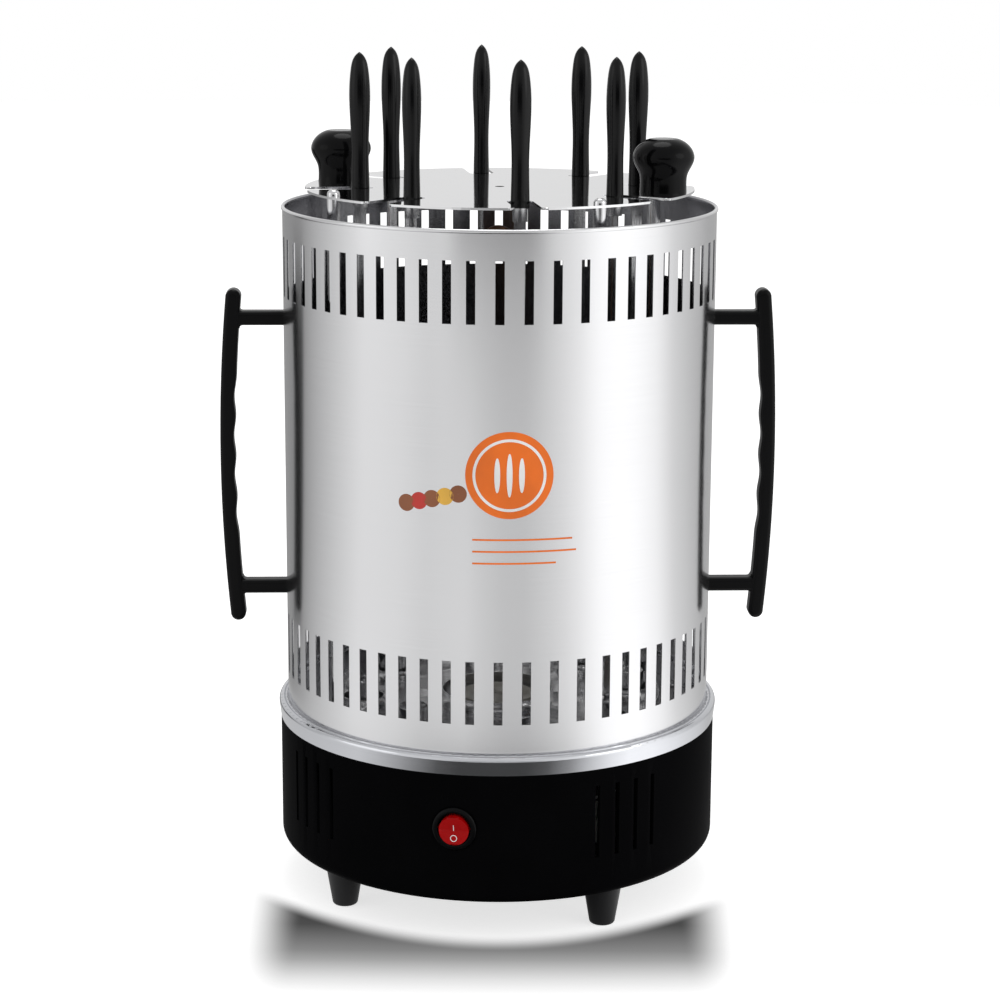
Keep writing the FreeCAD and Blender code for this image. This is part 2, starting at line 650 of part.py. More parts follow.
def make_gear_plate():
    """The lower plate: bushes for the spindles, and the motor hangs under it."""
    piece = body("gear_plate", turn="rack_turn")
    drawing = sketch(piece, "XY_Plane", "Plate", shift="gear_plate_bottom")
    circle(drawing, "0", "0", "gear_plate_radius")
    circle(drawing, "0", "0", "gear_plate_bore")
    extrude(piece, "Pad", drawing, "gear_plate_thickness")
    holes = (
        ("Spindle", "skewer_circle", "spindle_radius + running_fit", "skewer_step/2", "skewer_count"),
        ("Pillar", "standoff_circle", "screw_radius + screw_play", "skewer_step", RING_COUNT))
    for name, away, radius, turn, count in holes:
        hole = drill(piece, "0", f"0 - {away}", radius, "gear_plate_top",
                     "gear_plate_thickness", name + "Hole", turn=turn)
        around(piece, [hole], count, name + "Holes")
    drill(piece, "0", "motor_circle", "motor_shaft_radius + 3*slack", "gear_plate_top",
          "gear_plate_thickness", "ShaftHole")
    for across, name in (("ear_offset", "EarHoleA"), ("0 - ear_offset", "EarHoleB")):
        drill(piece, across, "motor_circle - ear_offset", "screw_radius + screw_play",
              "gear_plate_top", "gear_plate_thickness", name)
    return piece


def make_pillars():
    """The pillars between the deck and the lower plate."""
    span = number("gear_plate_drop")
    pillar = Part.makeCylinder(number("standoff_radius"), span)
    pillar = pillar.cut(Part.makeCylinder(number("screw_radius"), span))
    solid("drive_pillars", ring_of(pillar, RING_COUNT, "standoff_circle", "gear_plate_top",
                                   "rack_turn + skewer_step"))


def make_base_screws():
    """Groups of equal screws in the base."""
    small = screw("screw_radius", number("boss_length"))
    cover = screw("screw_radius", number("base_wall + cover_thickness"))
    foot = screw("screw_radius", number("foot_height - foot_recess_depth + boss_length"))
    small_up, cover_up, foot_up = [turned_about(fastener, 180, Vector(1, 0, 0))
                                   for fastener in (small, cover, foot)]
    between = "rack_turn + skewer_step"
    upper = ring_of(small, RING_COUNT, "standoff_circle", "deck_top", between)
    lower = ring_of(small_up, RING_COUNT, "standoff_circle", "gear_plate_bottom", between)
    solid("deck_screws", ring_of(small, RING_COUNT, "deck_screw_circle", "deck_top",
                                 "deck_screw_turn"))
    solid("cover_screws", ring_of(cover_up, RING_COUNT, "cover_screw_circle",
                                  "foot_height - cover_thickness"))
    solid("foot_screws", ring_of(foot_up, RING_COUNT, "foot_circle", "foot_recess_depth",
                                 "foot_turn"))
    solid("pillar_screws", Part.makeCompound(upper.Solids + lower.Solids))


def tooth_outline(teeth, pitch, turn):
    """Points round a spur gear: involute flanks between a root and a tip circle."""
    pressure = math.radians(20)
    base = pitch*math.cos(pressure)
    root = pitch - number("tooth_fall")
    tip = pitch + number("tooth_rise")
    half = math.pi/(2*teeth) - number("tooth_play")/(4*pitch)
    at_pitch = math.tan(pressure) - pressure
    points = []
    for tooth in range(teeth):
        middle = math.radians(turn) + 2*math.pi*tooth/teeth
        flank = []
        for step in range(5):
            radius = max(root, base) + (tip - max(root, base))*step/4
            slant = math.acos(min(1.0, base/radius))
            flank.append((radius, half + at_pitch - (math.tan(slant) - slant)))
        flank.insert(0, (root, flank[0][1]))
        side = [(radius, middle - angle) for radius, angle in flank]
        side += [(radius, middle + angle) for radius, angle in reversed(flank)]
        points += [Vector(radius*math.sin(angle), -radius*math.cos(angle), 0)
                   for radius, angle in side]
    return points


def gear(teeth, turn=0.0):
    """A spur gear between the gears' lower and upper levels."""
    pitch = number("tooth_size")*teeth/2
    points = tooth_outline(teeth, pitch, turn)
    blank = Part.Face(Part.makePolygon(points + points[:1]))
    return moved(blank.extrude(Vector(0, 0, number("gear_width"))), 0, 0, number("gear_bottom"))


def make_drive_gear():
    """The big gear in the middle, thinned between hub and teeth."""
    low, high = number("gear_bottom"), number("gear_top")
    web = number("web_thickness")
    middle = (low + high)/2
    inner = number("hub_radius + hub_wall")
    outer = number("web_outer")
    shape = gear(int(number("drive_teeth")))
    bore = Part.makeCylinder(number("hub_radius + running_fit"), high, Vector())
    shape = shape.cut(bore)
    for start, end in ((low, middle - web/2), (middle + web/2, high)):
        ring = Part.makeCylinder(outer, end - start, Vector(0, 0, start))
        shape = shape.cut(ring.cut(Part.makeCylinder(inner, end - start, Vector(0, 0, start))))
    solid("drive_gear", shape, turn="rack_turn")


def mesh_turn(teeth, angle):
    """Turn of a gear that meshes with the drive gear at an angle round it."""
    pitch = 360/number("drive_teeth")
    ahead = angle % pitch
    return ahead*number("drive_teeth")/teeth


def make_motor():
    """Geared motor can with two ears, hung under the lower plate, and its pinion."""
    top = number("gear_plate_bottom")
    length = number("motor_length")
    radius = number("motor_radius")
    can = Part.makeCylinder(radius, length, Vector(0, 0, top - length))
    rims = [e for e in can.Edges if isinstance(e.Curve, Part.Circle)]
    can = can.makeFillet(number("motor_rounding"), rims)
    plate = number("motor_ear_thickness")
    tip = number("motor_ear_radius")
    reach = number("motor_ear_circle")
    ear = Part.makeBox(2*tip, reach, plate, Vector(-tip, 0, top - plate))
    ear = ear.fuse(Part.makeCylinder(tip, plate, Vector(0, reach, top - plate)))
    hole = Part.makeCylinder(number("screw_radius + screw_play"), plate,
                             Vector(0, reach, top - plate))
    ear = ear.cut(hole)
    inward = (45, -45)
    can = can.fuse([turned_about(ear, angle) for angle in inward]).removeSplitter()
    shaft = number("motor_shaft_radius")
    depth = number("motor_shaft_depth")
    can = can.cut(Part.makeCylinder(shaft + number("running_fit"), depth,
                                    Vector(0, 0, top - depth)))
    solid("motor_body", can, turn="rack_turn + 180", away="motor_circle")
    fastener = screw("screw_radius", number("gear_plate_thickness + motor_ear_thickness + 2*beyond"))
    fastener = moved(fastener, 0, reach, number("gear_plate_top"))
    solid("motor_screws", Part.makeCompound([turned_about(fastener, a) for a in inward]),
          turn="rack_turn + 180", away="motor_circle")
    teeth = int(number("motor_teeth"))
    pinion = gear(teeth, turn=180.0/teeth + mesh_turn(teeth, 180.0) + 180)
    low = top - depth + number("beyond")
    spindle = Part.makeCylinder(shaft, number("gear_top") - low, Vector(0, 0, low))
    solid("motor_pinion", pinion.fuse(spindle).removeSplitter(), turn="rack_turn + 180",
          away="motor_circle")


def make_gear_hub():
    """The fixed hub on the lower plate that the drive gear turns on."""
    piece = body("gear_hub")
    gap = "gear_bottom - slack"
    revolve(piece, [
        ("hub_radius - hub_wall", "gear_plate_top"), ("hub_flange", "gear_plate_top"),
        ("hub_flange", gap), ("hub_radius", gap), ("hub_radius", "gear_top"),
        ("hub_radius - hub_wall", "gear_top")])
    return piece


def spindle_solid():
    """A skewer's gear, its spindle and its socket in one, standing at the body's axis."""
    low, step = number("gear_plate_bottom - spindle_reach"), number("gear_plate_top + slack")
    gear_low, top = number("gear_bottom"), number("socket_top")
    slim, shoulder = number("spindle_radius"), number("spindle_shoulder")
    journal, bevel = number("journal_radius"), number("bevel")
    mouth, throat, funnel = number("socket_mouth"), number("socket_throat"), number("socket_funnel")
    rod = spun([(0, low), (slim, low), (slim, step), (shoulder, step), (shoulder, gear_low),
                (journal, gear_low), (journal, top - bevel), (journal - bevel, top), (mouth, top),
                (throat, top - funnel), (0, top - funnel)])
    shape = rod.fuse(gear(int(number("skewer_teeth"))))
    half, thin = number("blade_width/2 + slack"), number("blade_thickness/2 + slack")
    slot = Part.makeBox(2*half, 2*thin, number("socket_depth"))
    slot = moved(slot, -half, -thin, number("blade_bottom"))
    return shape.cut(slot).removeSplitter()


def grip_solid():
    """A skewer's grip: a slim spindle form, flattened to an oval, with a slot for the blade."""
    length = number("grip_length")
    bulge, waist, base = number("grip_bulge"), number("grip_waist"), number("grip_base")
    shape_points = [(base, 0), (0.97*base, 0.12), (waist, 0.33), (0.5*(waist + bulge), 0.5),
                    (bulge, 0.71), (0.86*bulge, 0.87), (0.48*bulge, 0.967), (0, 1)]
    curve = Part.BSplineCurve()
    curve.interpolate([Vector(radius, 0, share*length) for radius, share in shape_points])
    foot = Part.LineSegment(Vector(), Vector(base, 0, 0))
    axis = Part.LineSegment(Vector(0, 0, length), Vector())
    face = Part.Face(Part.Wire([foot.toShape(), curve.toShape(), axis.toShape()]))
    round_grip = face.revolve(Vector(), Vector(0, 0, 1), 360)
    flatten = FreeCAD.Matrix()
    flatten.scale(1.0, number("grip_flatness"), 1.0)
    grip = round_grip.transformGeometry(flatten)
    width, thick = number("blade_width"), number("blade_thickness")
    tang = moved(Part.makeBox(width, thick, number("blade_tang")), -width/2, -thick/2, 0)
    return moved(grip.cut(tang), 0, 0, number("grip_bottom"))


def blade_solid():
    """A skewer's flat blade: pointed below, with a ferrule and a tang in the grip."""
    half, thick = number("blade_width/2"), number("blade_thickness")
    low = number("blade_bottom + slack")
    grip = number("grip_bottom")
    top = grip + number("blade_tang")
    point = low + number("blade_point")
    blunt = 0.4*half
    corners = [(-blunt, low), (blunt, low), (half, point), (half, top), (-half, top),
               (-half, point)]
    points = [Vector(across, -thick/2, up) for across, up in corners]
    strip = Part.Face(Part.makePolygon(points + points[:1])).extrude(Vector(0, thick, 0))
    length = number("ferrule_length")
    ferrule = Part.makeCylinder(number("ferrule_radius"), length, Vector(0, 0, grip - length))
    return strip.fuse(ferrule).removeSplitter()


def make_skewers():
    """Eight sets of a geared socket, a blade and a grip, each at its place round the rack."""
    socket, blade, grip = spindle_solid(), blade_solid(), grip_solid()
    teeth = number("skewer_teeth")
    for index in range(int(number("skewer_count"))):
        around_rack = f"skewer_step/2 + {index}*skewer_step"
        offset = 180/teeth + mesh_turn(teeth, number(around_rack)) + 180
        stop = SKEWER_STEPS[index % len(SKEWER_STEPS)]*360/teeth
        for kind, shape in (("socket", socket), ("blade", blade), ("grip", grip)):
            piece = solid(f"skewer_{kind}_{index + 1}", turned_about(shape, offset + stop))
            place(piece, "rack_turn + " + around_rack, "skewer_circle")


def make_heater():
    """The heater: a ceramic socket in the deck and a sheathed tube bent to a hairpin."""
    piece = body("heater_socket", turn="heater_turn")
    low = "ring_bottom - heater_neck_length"
    top = "deck_top + heater_flange_height"
    revolve(piece, [
        ("0", low), ("heater_neck", low), ("heater_neck", "deck_top"),
        ("heater_flange", "deck_top"), ("heater_flange", top), ("0", top)])
    drawing = sketch(piece, "XY_Plane", "LegHoles", shift=top)
    for across in ("heater_spread", "0 - heater_spread"):
        circle(drawing, across, "0", "heater_tube + running_fit")
    extrude(piece, "Pocket", drawing, top + " - heater_foot")
    tube, spread = number("heater_tube"), number("heater_spread")
    foot = number("heater_foot")
    bend = number("heater_top") - tube - spread
    legs = [Part.makeCylinder(tube, bend - foot, Vector(side*spread, 0, foot)) for side in (-1, 1)]
    section = Part.Face(Part.Wire(Part.makeCircle(tube, Vector(spread, 0, bend))))
    arch = section.revolve(Vector(0, 0, bend), Vector(0, -1, 0), 180)
    solid("heater_element", arch.fuse(legs).removeSplitter(), turn="heater_turn")


def make_drip_tray():
    """The ring-shaped tray that catches the fat, with a collar round every socket."""
    piece = body("drip_tray", turn="rack_turn")
    floor, rim = "tray_floor", "tray_floor + tray_height"
    revolve(piece, [
        ("tray_inner", floor), ("tray_outer", floor), ("tray_outer", rim),
        ("tray_outer - tray_wall", rim), ("tray_outer - tray_wall", "tray_floor + tray_wall"),
        ("tray_inner + tray_wall", "tray_floor + tray_wall"), ("tray_inner + tray_wall", rim),
        ("tray_inner", rim)])
    drawing = sketch(piece, "XY_Plane", "Collar", shift=floor, turn="skewer_step/2")
    circle(drawing, "0", "0 - skewer_circle", "tray_hole + tray_wall")
    collar = extrude(piece, "Pad", drawing, "tray_collar")
    hole = drill(piece, "0", "0 - skewer_circle", "tray_hole", "tray_floor + tray_collar",
                 "tray_collar", "CollarHole", turn="skewer_step/2")
    around(piece, [collar, hole], "skewer_count", "Collars")
    soften(piece, "tray_rounding", ring_edge("tray_outer", rim))
    return piece


def make_top_plate():
    """The rack's polished plate with an open notch for each skewer."""
    piece = body("top_plate", turn="rack_turn")
    drawing = sketch(piece, "XY_Plane", "Plate", shift="plate_bottom")
    circle(drawing, "0", "0", "plate_radius")
    circle(drawing, "0", "0", "plate_hole")
    extrude(piece, "Pad", drawing, "plate_thickness")
    seat = drill(piece, "0", "0 - skewer_circle", "notch_width/2", "plate_top",
                 "plate_thickness", "NotchSeat", turn="skewer_step/2")
    drawing = sketch(piece, "XY_Plane", "NotchMouth", shift="plate_top", turn="skewer_step/2")
    rectangle(drawing, "0 - notch_width/2", "notch_width/2", "0 - plate_radius - beyond",
              "0 - skewer_circle")
    mouth = extrude(piece, "Pocket", drawing, "plate_thickness")
    around(piece, [seat, mouth], "skewer_count", "Notches")
    hole = drill(piece, "0", "0 - post_circle", "screw_radius + screw_play", "plate_top",
                 "plate_thickness", "PostHole", turn="skewer_step")
    around(piece, [hole], RING_COUNT, "PostHoles")
    for across, name in (("knob_circle", "KnobHoleA"), ("0 - knob_circle", "KnobHoleB")):
        drill(piece, across, "0", "knob_bore + screw_play", "plate_top", "plate_thickness", name)

    def notch_corner(edge):
        if not isinstance(edge.Curve, Part.Line):
            return False
        ends = [vertex.Point for vertex in edge.Vertexes]
        upright = abs(ends[0].z - ends[1].z) > 0.5*number("plate_thickness")
        return upright and abs(math.hypot(ends[0].x, ends[0].y) - number("plate_radius")) < 0.01

    soften(piece, "notch_flare", notch_corner)
    return piece


def make_rack():
    """Posts, cap nuts and knobs of the lift-out rack."""
    low, top = number("deck_top"), number("plate_bottom")
    radius, pin, stud = number("post_radius"), number("post_spigot"), number("screw_radius")
    nut_radius, nut_low, height = number("nut_radius"), number("plate_top"), number("nut_height")
    bite = 0.6*height
    deep, bevel = number("ring_bottom + slack"), number("slack")
    post = spun([(0, deep), (pin - bevel, deep), (pin, deep + bevel), (pin, low), (radius, low),
                 (radius, top), (stud, top), (stud, nut_low + bite), (0, nut_low + bite)])
    dome = Part.makeCylinder(nut_radius, height, Vector(0, 0, nut_low))
    rim = [e for e in dome.Edges if isinstance(e.Curve, Part.Circle)
           and abs(e.Curve.Center.z - nut_low - height) < 0.01]
    nut = dome.makeFillet(0.75*nut_radius, rim)
    nut = nut.cut(Part.makeCylinder(stud, bite, Vector(0, 0, nut_low)))
    for label, shape in (("rack_posts", post), ("cap_nuts", nut)):
        solid(label, ring_of(shape, RING_COUNT, "post_circle", turn="skewer_step"),
              turn="rack_turn")
    head, neck = number("knob_head"), number("knob_neck")
    wide, tall = number("knob_head_height"), number("knob_height")
    disc = number("knob_disc")
    curve = Part.BSplineCurve()
    curve.interpolate([Vector(across, 0, up) for across, up in (
        (number("knob_foot"), 0), (neck, 0.3*wide), (neck + 0.12*(head - neck), 0.5*wide),
        (neck + 0.75*(head - neck), 0.78*wide), (head, wide), (0.9*head, wide + 0.47*(tall - wide)),
        (0.72*head, wide + 0.78*(tall - wide)), (disc, tall))])
    bore, depth = number("knob_bore"), number("knob_bore_depth")
    corners = [Vector(disc, 0, tall), Vector(0, 0, tall), Vector(0, 0, depth),
               Vector(bore, 0, depth), Vector(bore, 0, 0), Vector(number("knob_foot"), 0, 0)]
    face = Part.Face(Part.Wire([curve.toShape()] + Part.makePolygon(corners).Edges))
    knob = moved(face.revolve(Vector(), Vector(0, 0, 1), 360), 0, 0, nut_low)
    solid("knob_right", knob, turn="rack_turn + 90", away="knob_circle")
    solid("knob_left", knob, turn="rack_turn + 270", away="knob_circle")
    fastener = screw("knob_bore - running_fit", number("plate_thickness") + 0.85*depth)
    fastener = turned_about(fastener, 180, Vector(1, 0, 0))
    solid("knob_screws", ring_of(fastener, 2, "knob_circle", "plate_bottom", "90"),
          turn="rack_turn")


def make_shell():
    """The slotted shell with its rolled rim and the holes for the handles' screws."""
    piece = body("shell", turn="shell_turn")
    rim = "shell_top - rim_radius"
    revolve(piece, [
        ("shell_inner", "shell_bottom"), ("shell_radius", "shell_bottom"),
        ("shell_radius", rim), ("shell_inner", rim)], name="Wall")
    drawing = sketch(piece, "XZ_Plane", "Rim")
    circle(drawing, "shell_radius - shell_wall/2", rim, "rim_radius")
    bead = piece.newObject("PartDesign::Revolution", "RimTurned")
    bead.Profile = drawing
    bead.ReferenceAxis = (drawing, ["V_Axis"])
    bead.Angle = 360
    document.recompute()
    wide = "slot_wide_count*slot_gap_wide"
    runs = (("slot_turn", "slot_wide_count + 1", wide),
            (f"slot_turn + {wide} + slot_gap", "slot_narrow_count - 1",
             "slot_narrow_span - 2*slot_gap"))
    for side, back in (("Front", 0), ("Rear", 180)):
        for (first, count, span), gaps in zip(runs, ("Wide", "Narrow")):
            name = side + gaps
            drawing = sketch(piece, "XZ_Plane", name + "Slots", shift="shell_inner - 2*beyond",
                             turn=f"{first} + {back}")
            for row in ("upper_slot", "lower_slot"):
                rectangle(drawing, "0 - slot_width/2", "slot_width/2", row + "_low", row + "_high")
            slots = extrude(piece, "Pocket", drawing, "shell_wall + 4*beyond", backwards=True)
            around(piece, [slots], count, name + "Run", span)
    drawing = sketch(piece, "XZ_Plane", "HandleHoles", turn="90")
    for level in ("handle_upper_arm", "handle_upper_arm - handle_arm_gap"):
        circle(drawing, "0", level, "screw_radius + screw_play")
    holes = extrude(piece, "Pocket", drawing, "shell_radius + beyond", backwards=True)
    around(piece, [holes], "2", "HandleHolePairs")
    return piece


def handle_ends():
    """Top and lower end of a handle's bar above the floor."""
    return (number("handle_upper_arm + handle_upper_end"),
            number("handle_upper_arm - handle_arm_gap - handle_lower_end"))


def bar_outside(level):
    """Outer face of the bowed bar at a level, from the grill's axis."""
    top, low = handle_ends()
    share = (2*level - top - low)/(top - low)
    return number("handle_reach") - number("handle_bow")*share**2


def handle_bar():
    """The upright bar of a side handle: bowed outside, finger grooves inside."""
    top, low = handle_ends()
    middle = (top + low)/2
    grip, width = number("handle_grip"), number("handle_width")
    pitch, depth = number("finger_pitch"), number("finger_depth")
    grooves = int(number("finger_count"))

    def inner(level):
        turns = (level - middle)/pitch + grooves/2
        groove = (1 - math.cos(2*math.pi*turns))/2 if 0 < turns < grooves else 0
        return bar_outside(level) - grip + depth*groove

    steps = 9*grooves
    start, span = low + grip/2, top - low - grip
    levels = [start + span*step/steps for step in range(steps + 1)]
    front, back = Part.BSplineCurve(), Part.BSplineCurve()
    front.interpolate([Vector(bar_outside(level), 0, level) for level in levels])
    back.interpolate([Vector(inner(level), 0, level) for level in reversed(levels)])

    def end_cap(level, tip):
        return Part.Arc(Vector(bar_outside(level), 0, level),
                        Vector((bar_outside(level) + inner(level))/2, 0, tip),
                        Vector(inner(level), 0, level))

    crown, heel = end_cap(levels[-1], top), end_cap(levels[0], low)
    face = Part.Face(Part.Wire([curve.toShape() for curve in (front, crown, back, heel)]))
    bar = moved(face.extrude(Vector(0, width, 0)), 0, -width/2, 0)
    flat = [edge for edge in bar.Edges
            if all(abs(abs(vertex.Y) - width/2) < 0.01 for vertex in edge.Vertexes)
            and edge.Vertexes[0].Y*edge.Vertexes[-1].Y > 0]
    return bar.makeFillet(number("handle_rounding"), flat)


def arm_flare(level):
    """The hollow rounding above and below an arm where it meets the bar."""
    flare, half = number("arm_flare"), number("arm_thickness/2")
    face, deep = bar_outside(level) - number("handle_grip"), number("bevel")
    tall, middle = half + flare, flare*math.sqrt(0.5)
    upper = Part.Arc(Vector(face - flare, 0, half), Vector(face - flare + middle, 0, tall - middle),
                     Vector(face, 0, tall))
    lower = Part.Arc(Vector(face, 0, -tall), Vector(face - flare + middle, 0, middle - tall),
                     Vector(face - flare, 0, -half))
    back = Part.makePolygon([Vector(face, 0, tall), Vector(face + deep, 0, tall),
                             Vector(face + deep, 0, -tall), Vector(face, 0, -tall)])
    front = Part.makeLine(Vector(face - flare, 0, -half), Vector(face - flare, 0, half))
    outline = Part.Wire([upper.toShape(), *back.Edges, lower.toShape(), front])
    width = number("arm_width - arm_thickness/2")
    return moved(Part.Face(outline).extrude(Vector(0, width, 0)), 0, -width/2, level)


def make_handles():
    """Two side handles, each a bar on two arms that meet the shell, and their screws."""
    bar = handle_bar()
    shell = number("shell_radius")
    thick, width = number("arm_thickness"), number("arm_width")
    reach = number("handle_reach - handle_bow - handle_grip/2")
    levels = (number("handle_upper_arm"), number("handle_upper_arm - handle_arm_gap"))
    seat = math.sqrt(number("shell_inner")**2 - number("screw_head")**2) - number("running_fit")
    root = 2*number("shell_wall")
    arms, bores, fasteners = [], [], []
    fastener = screw("screw_radius", number("shell_wall") + 0.8*number("handle_bore_depth"))
    fastener = turned_about(fastener, -90, Vector(0, 1, 0))
    for level in levels:
        arm = Part.makeBox(reach - shell + root, width, thick)
        long = [e for e in arm.Edges if e.Length == max(edge.Length for edge in arm.Edges)]
        arm = arm.makeFillet(0.3*thick, long)
        arms.append(moved(arm, shell - root, -width/2, level - thick/2))
        arms.append(arm_flare(level))
        bore = Part.makeCylinder(number("handle_bore"), number("handle_bore_depth"),
                                 Vector(shell - root/2, 0, level), Vector(1, 0, 0))
        bores.append(bore)
        fasteners.append(moved(fastener, seat, 0, level))
    column = Part.makeCylinder(shell, number("shell_top"))
    handle = bar.fuse(arms).cut(column).cut(bores).removeSplitter()
    solid("handle_right", handle, turn="shell_turn")
    solid("handle_left", handle, turn="shell_turn + 180")
    group = fasteners + [turned_about(shape, 180) for shape in fasteners]
    solid("handle_screws", Part.makeCompound(group), turn="shell_turn")


def facing(shape, angle, along, level):
    """Lay a shape made on +Z over to point out of the base's wall."""
    return moved(turned_about(shape, angle, Vector(1, 0, 0)), 0, along, level)


def make_switch():
    """The round rocker switch: a body with a raised bezel, and the button on its pin."""
    proud, length = number("switch_bezel_height"), number("switch_body_length")
    radius, bezel, recess = number("switch_body"), number("switch_bezel"), number("switch_recess")
    floor = proud - number("switch_recess_depth")
    bevel, rim, inside = number("bevel"), number("switch_bevel"), number("slack")
    case = spun([(0, -length), (radius - bevel, -length), (radius, bevel - length), (radius, 0),
                 (bezel, 0), (bezel, proud - rim), (bezel - rim, proud), (recess + inside, proud),
                 (recess, proud - inside), (recess, floor), (0, floor)])
    button, back = number("rocker_radius"), proud - number("rocker_depth")
    pivot = back + number("rocker_pin_rise")
    pin, end = number("rocker_pin"), recess + number("rocker_pin_end")
    clear = end + number("slack")
    hole = Part.makeCylinder(pin + number("running_fit"), 2*clear, Vector(-clear, 0, pivot),
                             Vector(1, 0, 0))
    wide, thin, tall = number("tab_width"), number("tab_thickness"), number("tab_length")
    tabs = [Part.makeBox(wide, thin, tall, Vector(-wide/2, row*number("tab_pitch") - thin/2,
                                                  -length - tall)) for row in (-1, 0, 1)]
    place_out = (90, -number("switch_face"), number("switch_level"))
    solid("switch_body", facing(case.cut(hole).fuse(tabs), *place_out))
    edge = proud + number("rocker_proud")
    dip = edge - button*math.tan(math.radians(number("rocker_slope")))
    corners = [(-button, back), (button, back), (button, edge), (0, dip), (-button, edge)]
    points = [Vector(-button, across, up) for across, up in corners]
    wedge = Part.Face(Part.makePolygon(points + points[:1])).extrude(Vector(2*button, 0, 0))
    rocker = wedge.common(Part.makeCylinder(button, edge - back, Vector(0, 0, back)))
    rocker = rocker.fuse(Part.makeCylinder(pin, 2*end, Vector(-end, 0, pivot), Vector(1, 0, 0)))
    rocker = turned_about(moved(rocker, 0, 0, -pivot), number("rocker_tilt"), Vector(1, 0, 0))
    solid("switch_rocker", facing(moved(rocker, 0, 0, pivot), *place_out))


def make_gland():
    """The bush for the cord in the base's rear wall, with a lip that snaps in behind it."""
    radius, flange, bore = number("gland_radius"), number("gland_flange"), number("gland_bore")
    length, wall, lip = number("gland_length"), number("base_wall"), number("gland_lip")
    behind, bevel = -wall - number("gland_play"), number("bevel")
    plate = length - 2*bevel
    nose = radius - bevel/2
    bush = spun([(bore, behind - 3*lip), (radius + lip, behind - 3*lip), (radius + lip, behind),
                 (radius, behind), (radius, 0), (flange, 0), (flange, plate),
                 (nose, length - bevel), (nose - bevel, length), (bore, length)])
    solid("cord_gland", facing(bush, -90, number("base_radius"), number("gland_level")))


def make_terminal_block():
    """The block on the bottom cover where the mains wires are joined."""
    piece = body("terminal_block")
    drawing = sketch(piece, "XY_Plane", "Block", shift="foot_height")
    rectangle(drawing, "terminal_place - terminal_width/2", "terminal_place + terminal_width/2",
              "0 - terminal_length/2", "terminal_length/2")
    extrude(piece, "Pad", drawing, "terminal_height")
    top = "foot_height + terminal_height"
    for index, share in enumerate(("0 - terminal_length/3", "0", "terminal_length/3")):
        drill(piece, "terminal_place", share, "screw_radius", top, "terminal_height/2",
              f"Clamp{index + 1}")
    return piece


def check_and_write():
    """Refuse a failed object or an empty or broken shape, then write every piece."""
    document.recompute()
    for thing in document.Objects:
        if {"Invalid", "Error"} & set(thing.State):
            raise ValueError(f"{thing.Label} failed: {thing.State}")
    os.makedirs("parts", exist_ok=True)
    kinds = ("PartDesign::Body", "Part::Feature")
    pieces = [thing for thing in document.Objects if thing.TypeId in kinds]
    for piece in pieces:
        shape = piece.Shape
        if shape.isNull() or not shape.isValid() or not shape.Solids:
            raise ValueError(f"{piece.Label} has no sound shape")
    for piece in pieces:
        piece.Shape.exportStep(f"parts/{piece.Label}.step")
    print(len(pieces), "pieces")


fill_sheet()
make_base_housing()
make_bottom_cover()
make_feet()
make_base_ring()
make_deck_plate()
make_gear_plate()
make_pillars()
make_base_screws()
make_drive_gear()
make_motor()
make_gear_hub()
make_skewers()
make_heater()
make_drip_tray()
make_top_plate()
make_rack()
make_shell()
make_handles()
make_switch()
make_gland()
make_terminal_block()
check_and_write()
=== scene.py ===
import json
import math

import bmesh
import bpy
import numpy as np
from bpy.props import FloatProperty, FloatVectorProperty, IntProperty, PointerProperty
from mathutils import Matrix, Vector

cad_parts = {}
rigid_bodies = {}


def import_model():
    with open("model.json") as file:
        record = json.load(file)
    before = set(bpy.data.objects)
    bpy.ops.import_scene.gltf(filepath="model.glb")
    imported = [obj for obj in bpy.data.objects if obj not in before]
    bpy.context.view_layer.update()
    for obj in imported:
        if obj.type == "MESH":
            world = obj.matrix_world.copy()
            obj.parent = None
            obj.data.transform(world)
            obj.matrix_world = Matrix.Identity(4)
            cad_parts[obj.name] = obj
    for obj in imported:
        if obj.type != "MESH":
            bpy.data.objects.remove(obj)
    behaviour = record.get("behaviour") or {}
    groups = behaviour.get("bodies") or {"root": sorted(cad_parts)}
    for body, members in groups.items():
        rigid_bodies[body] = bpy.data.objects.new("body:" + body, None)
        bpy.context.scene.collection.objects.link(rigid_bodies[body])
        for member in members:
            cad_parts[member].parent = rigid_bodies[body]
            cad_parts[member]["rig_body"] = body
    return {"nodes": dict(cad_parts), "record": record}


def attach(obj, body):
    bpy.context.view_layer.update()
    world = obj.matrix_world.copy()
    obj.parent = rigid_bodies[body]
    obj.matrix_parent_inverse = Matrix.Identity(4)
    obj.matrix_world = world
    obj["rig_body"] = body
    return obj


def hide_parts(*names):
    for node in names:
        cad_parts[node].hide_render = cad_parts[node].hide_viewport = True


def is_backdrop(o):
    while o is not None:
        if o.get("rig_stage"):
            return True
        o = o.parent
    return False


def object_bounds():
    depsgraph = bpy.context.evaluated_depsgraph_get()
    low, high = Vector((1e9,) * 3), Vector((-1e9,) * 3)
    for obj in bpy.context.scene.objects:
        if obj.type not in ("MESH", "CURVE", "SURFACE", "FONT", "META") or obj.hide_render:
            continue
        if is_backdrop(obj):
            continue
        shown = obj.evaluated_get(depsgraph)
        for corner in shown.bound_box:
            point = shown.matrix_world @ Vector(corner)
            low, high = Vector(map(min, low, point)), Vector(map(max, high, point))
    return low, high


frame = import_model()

bl_info = {
    "name": "Upright skewer grill",
    "version": (1, 0, 0),
    "blender": (4, 5, 0),
    "location": "View3D > Sidebar > Grill",
    "description": "Dresses the packed skewer grill and sets it in a pale studio",
    "category": "Object",
}

# Lengths are metres. An angle round the grill is counted from -Y towards +X.


def length(name, value, description):
    """A size in metres that a user may change."""
    return FloatProperty(name=name, default=value, unit="LENGTH", description=description)


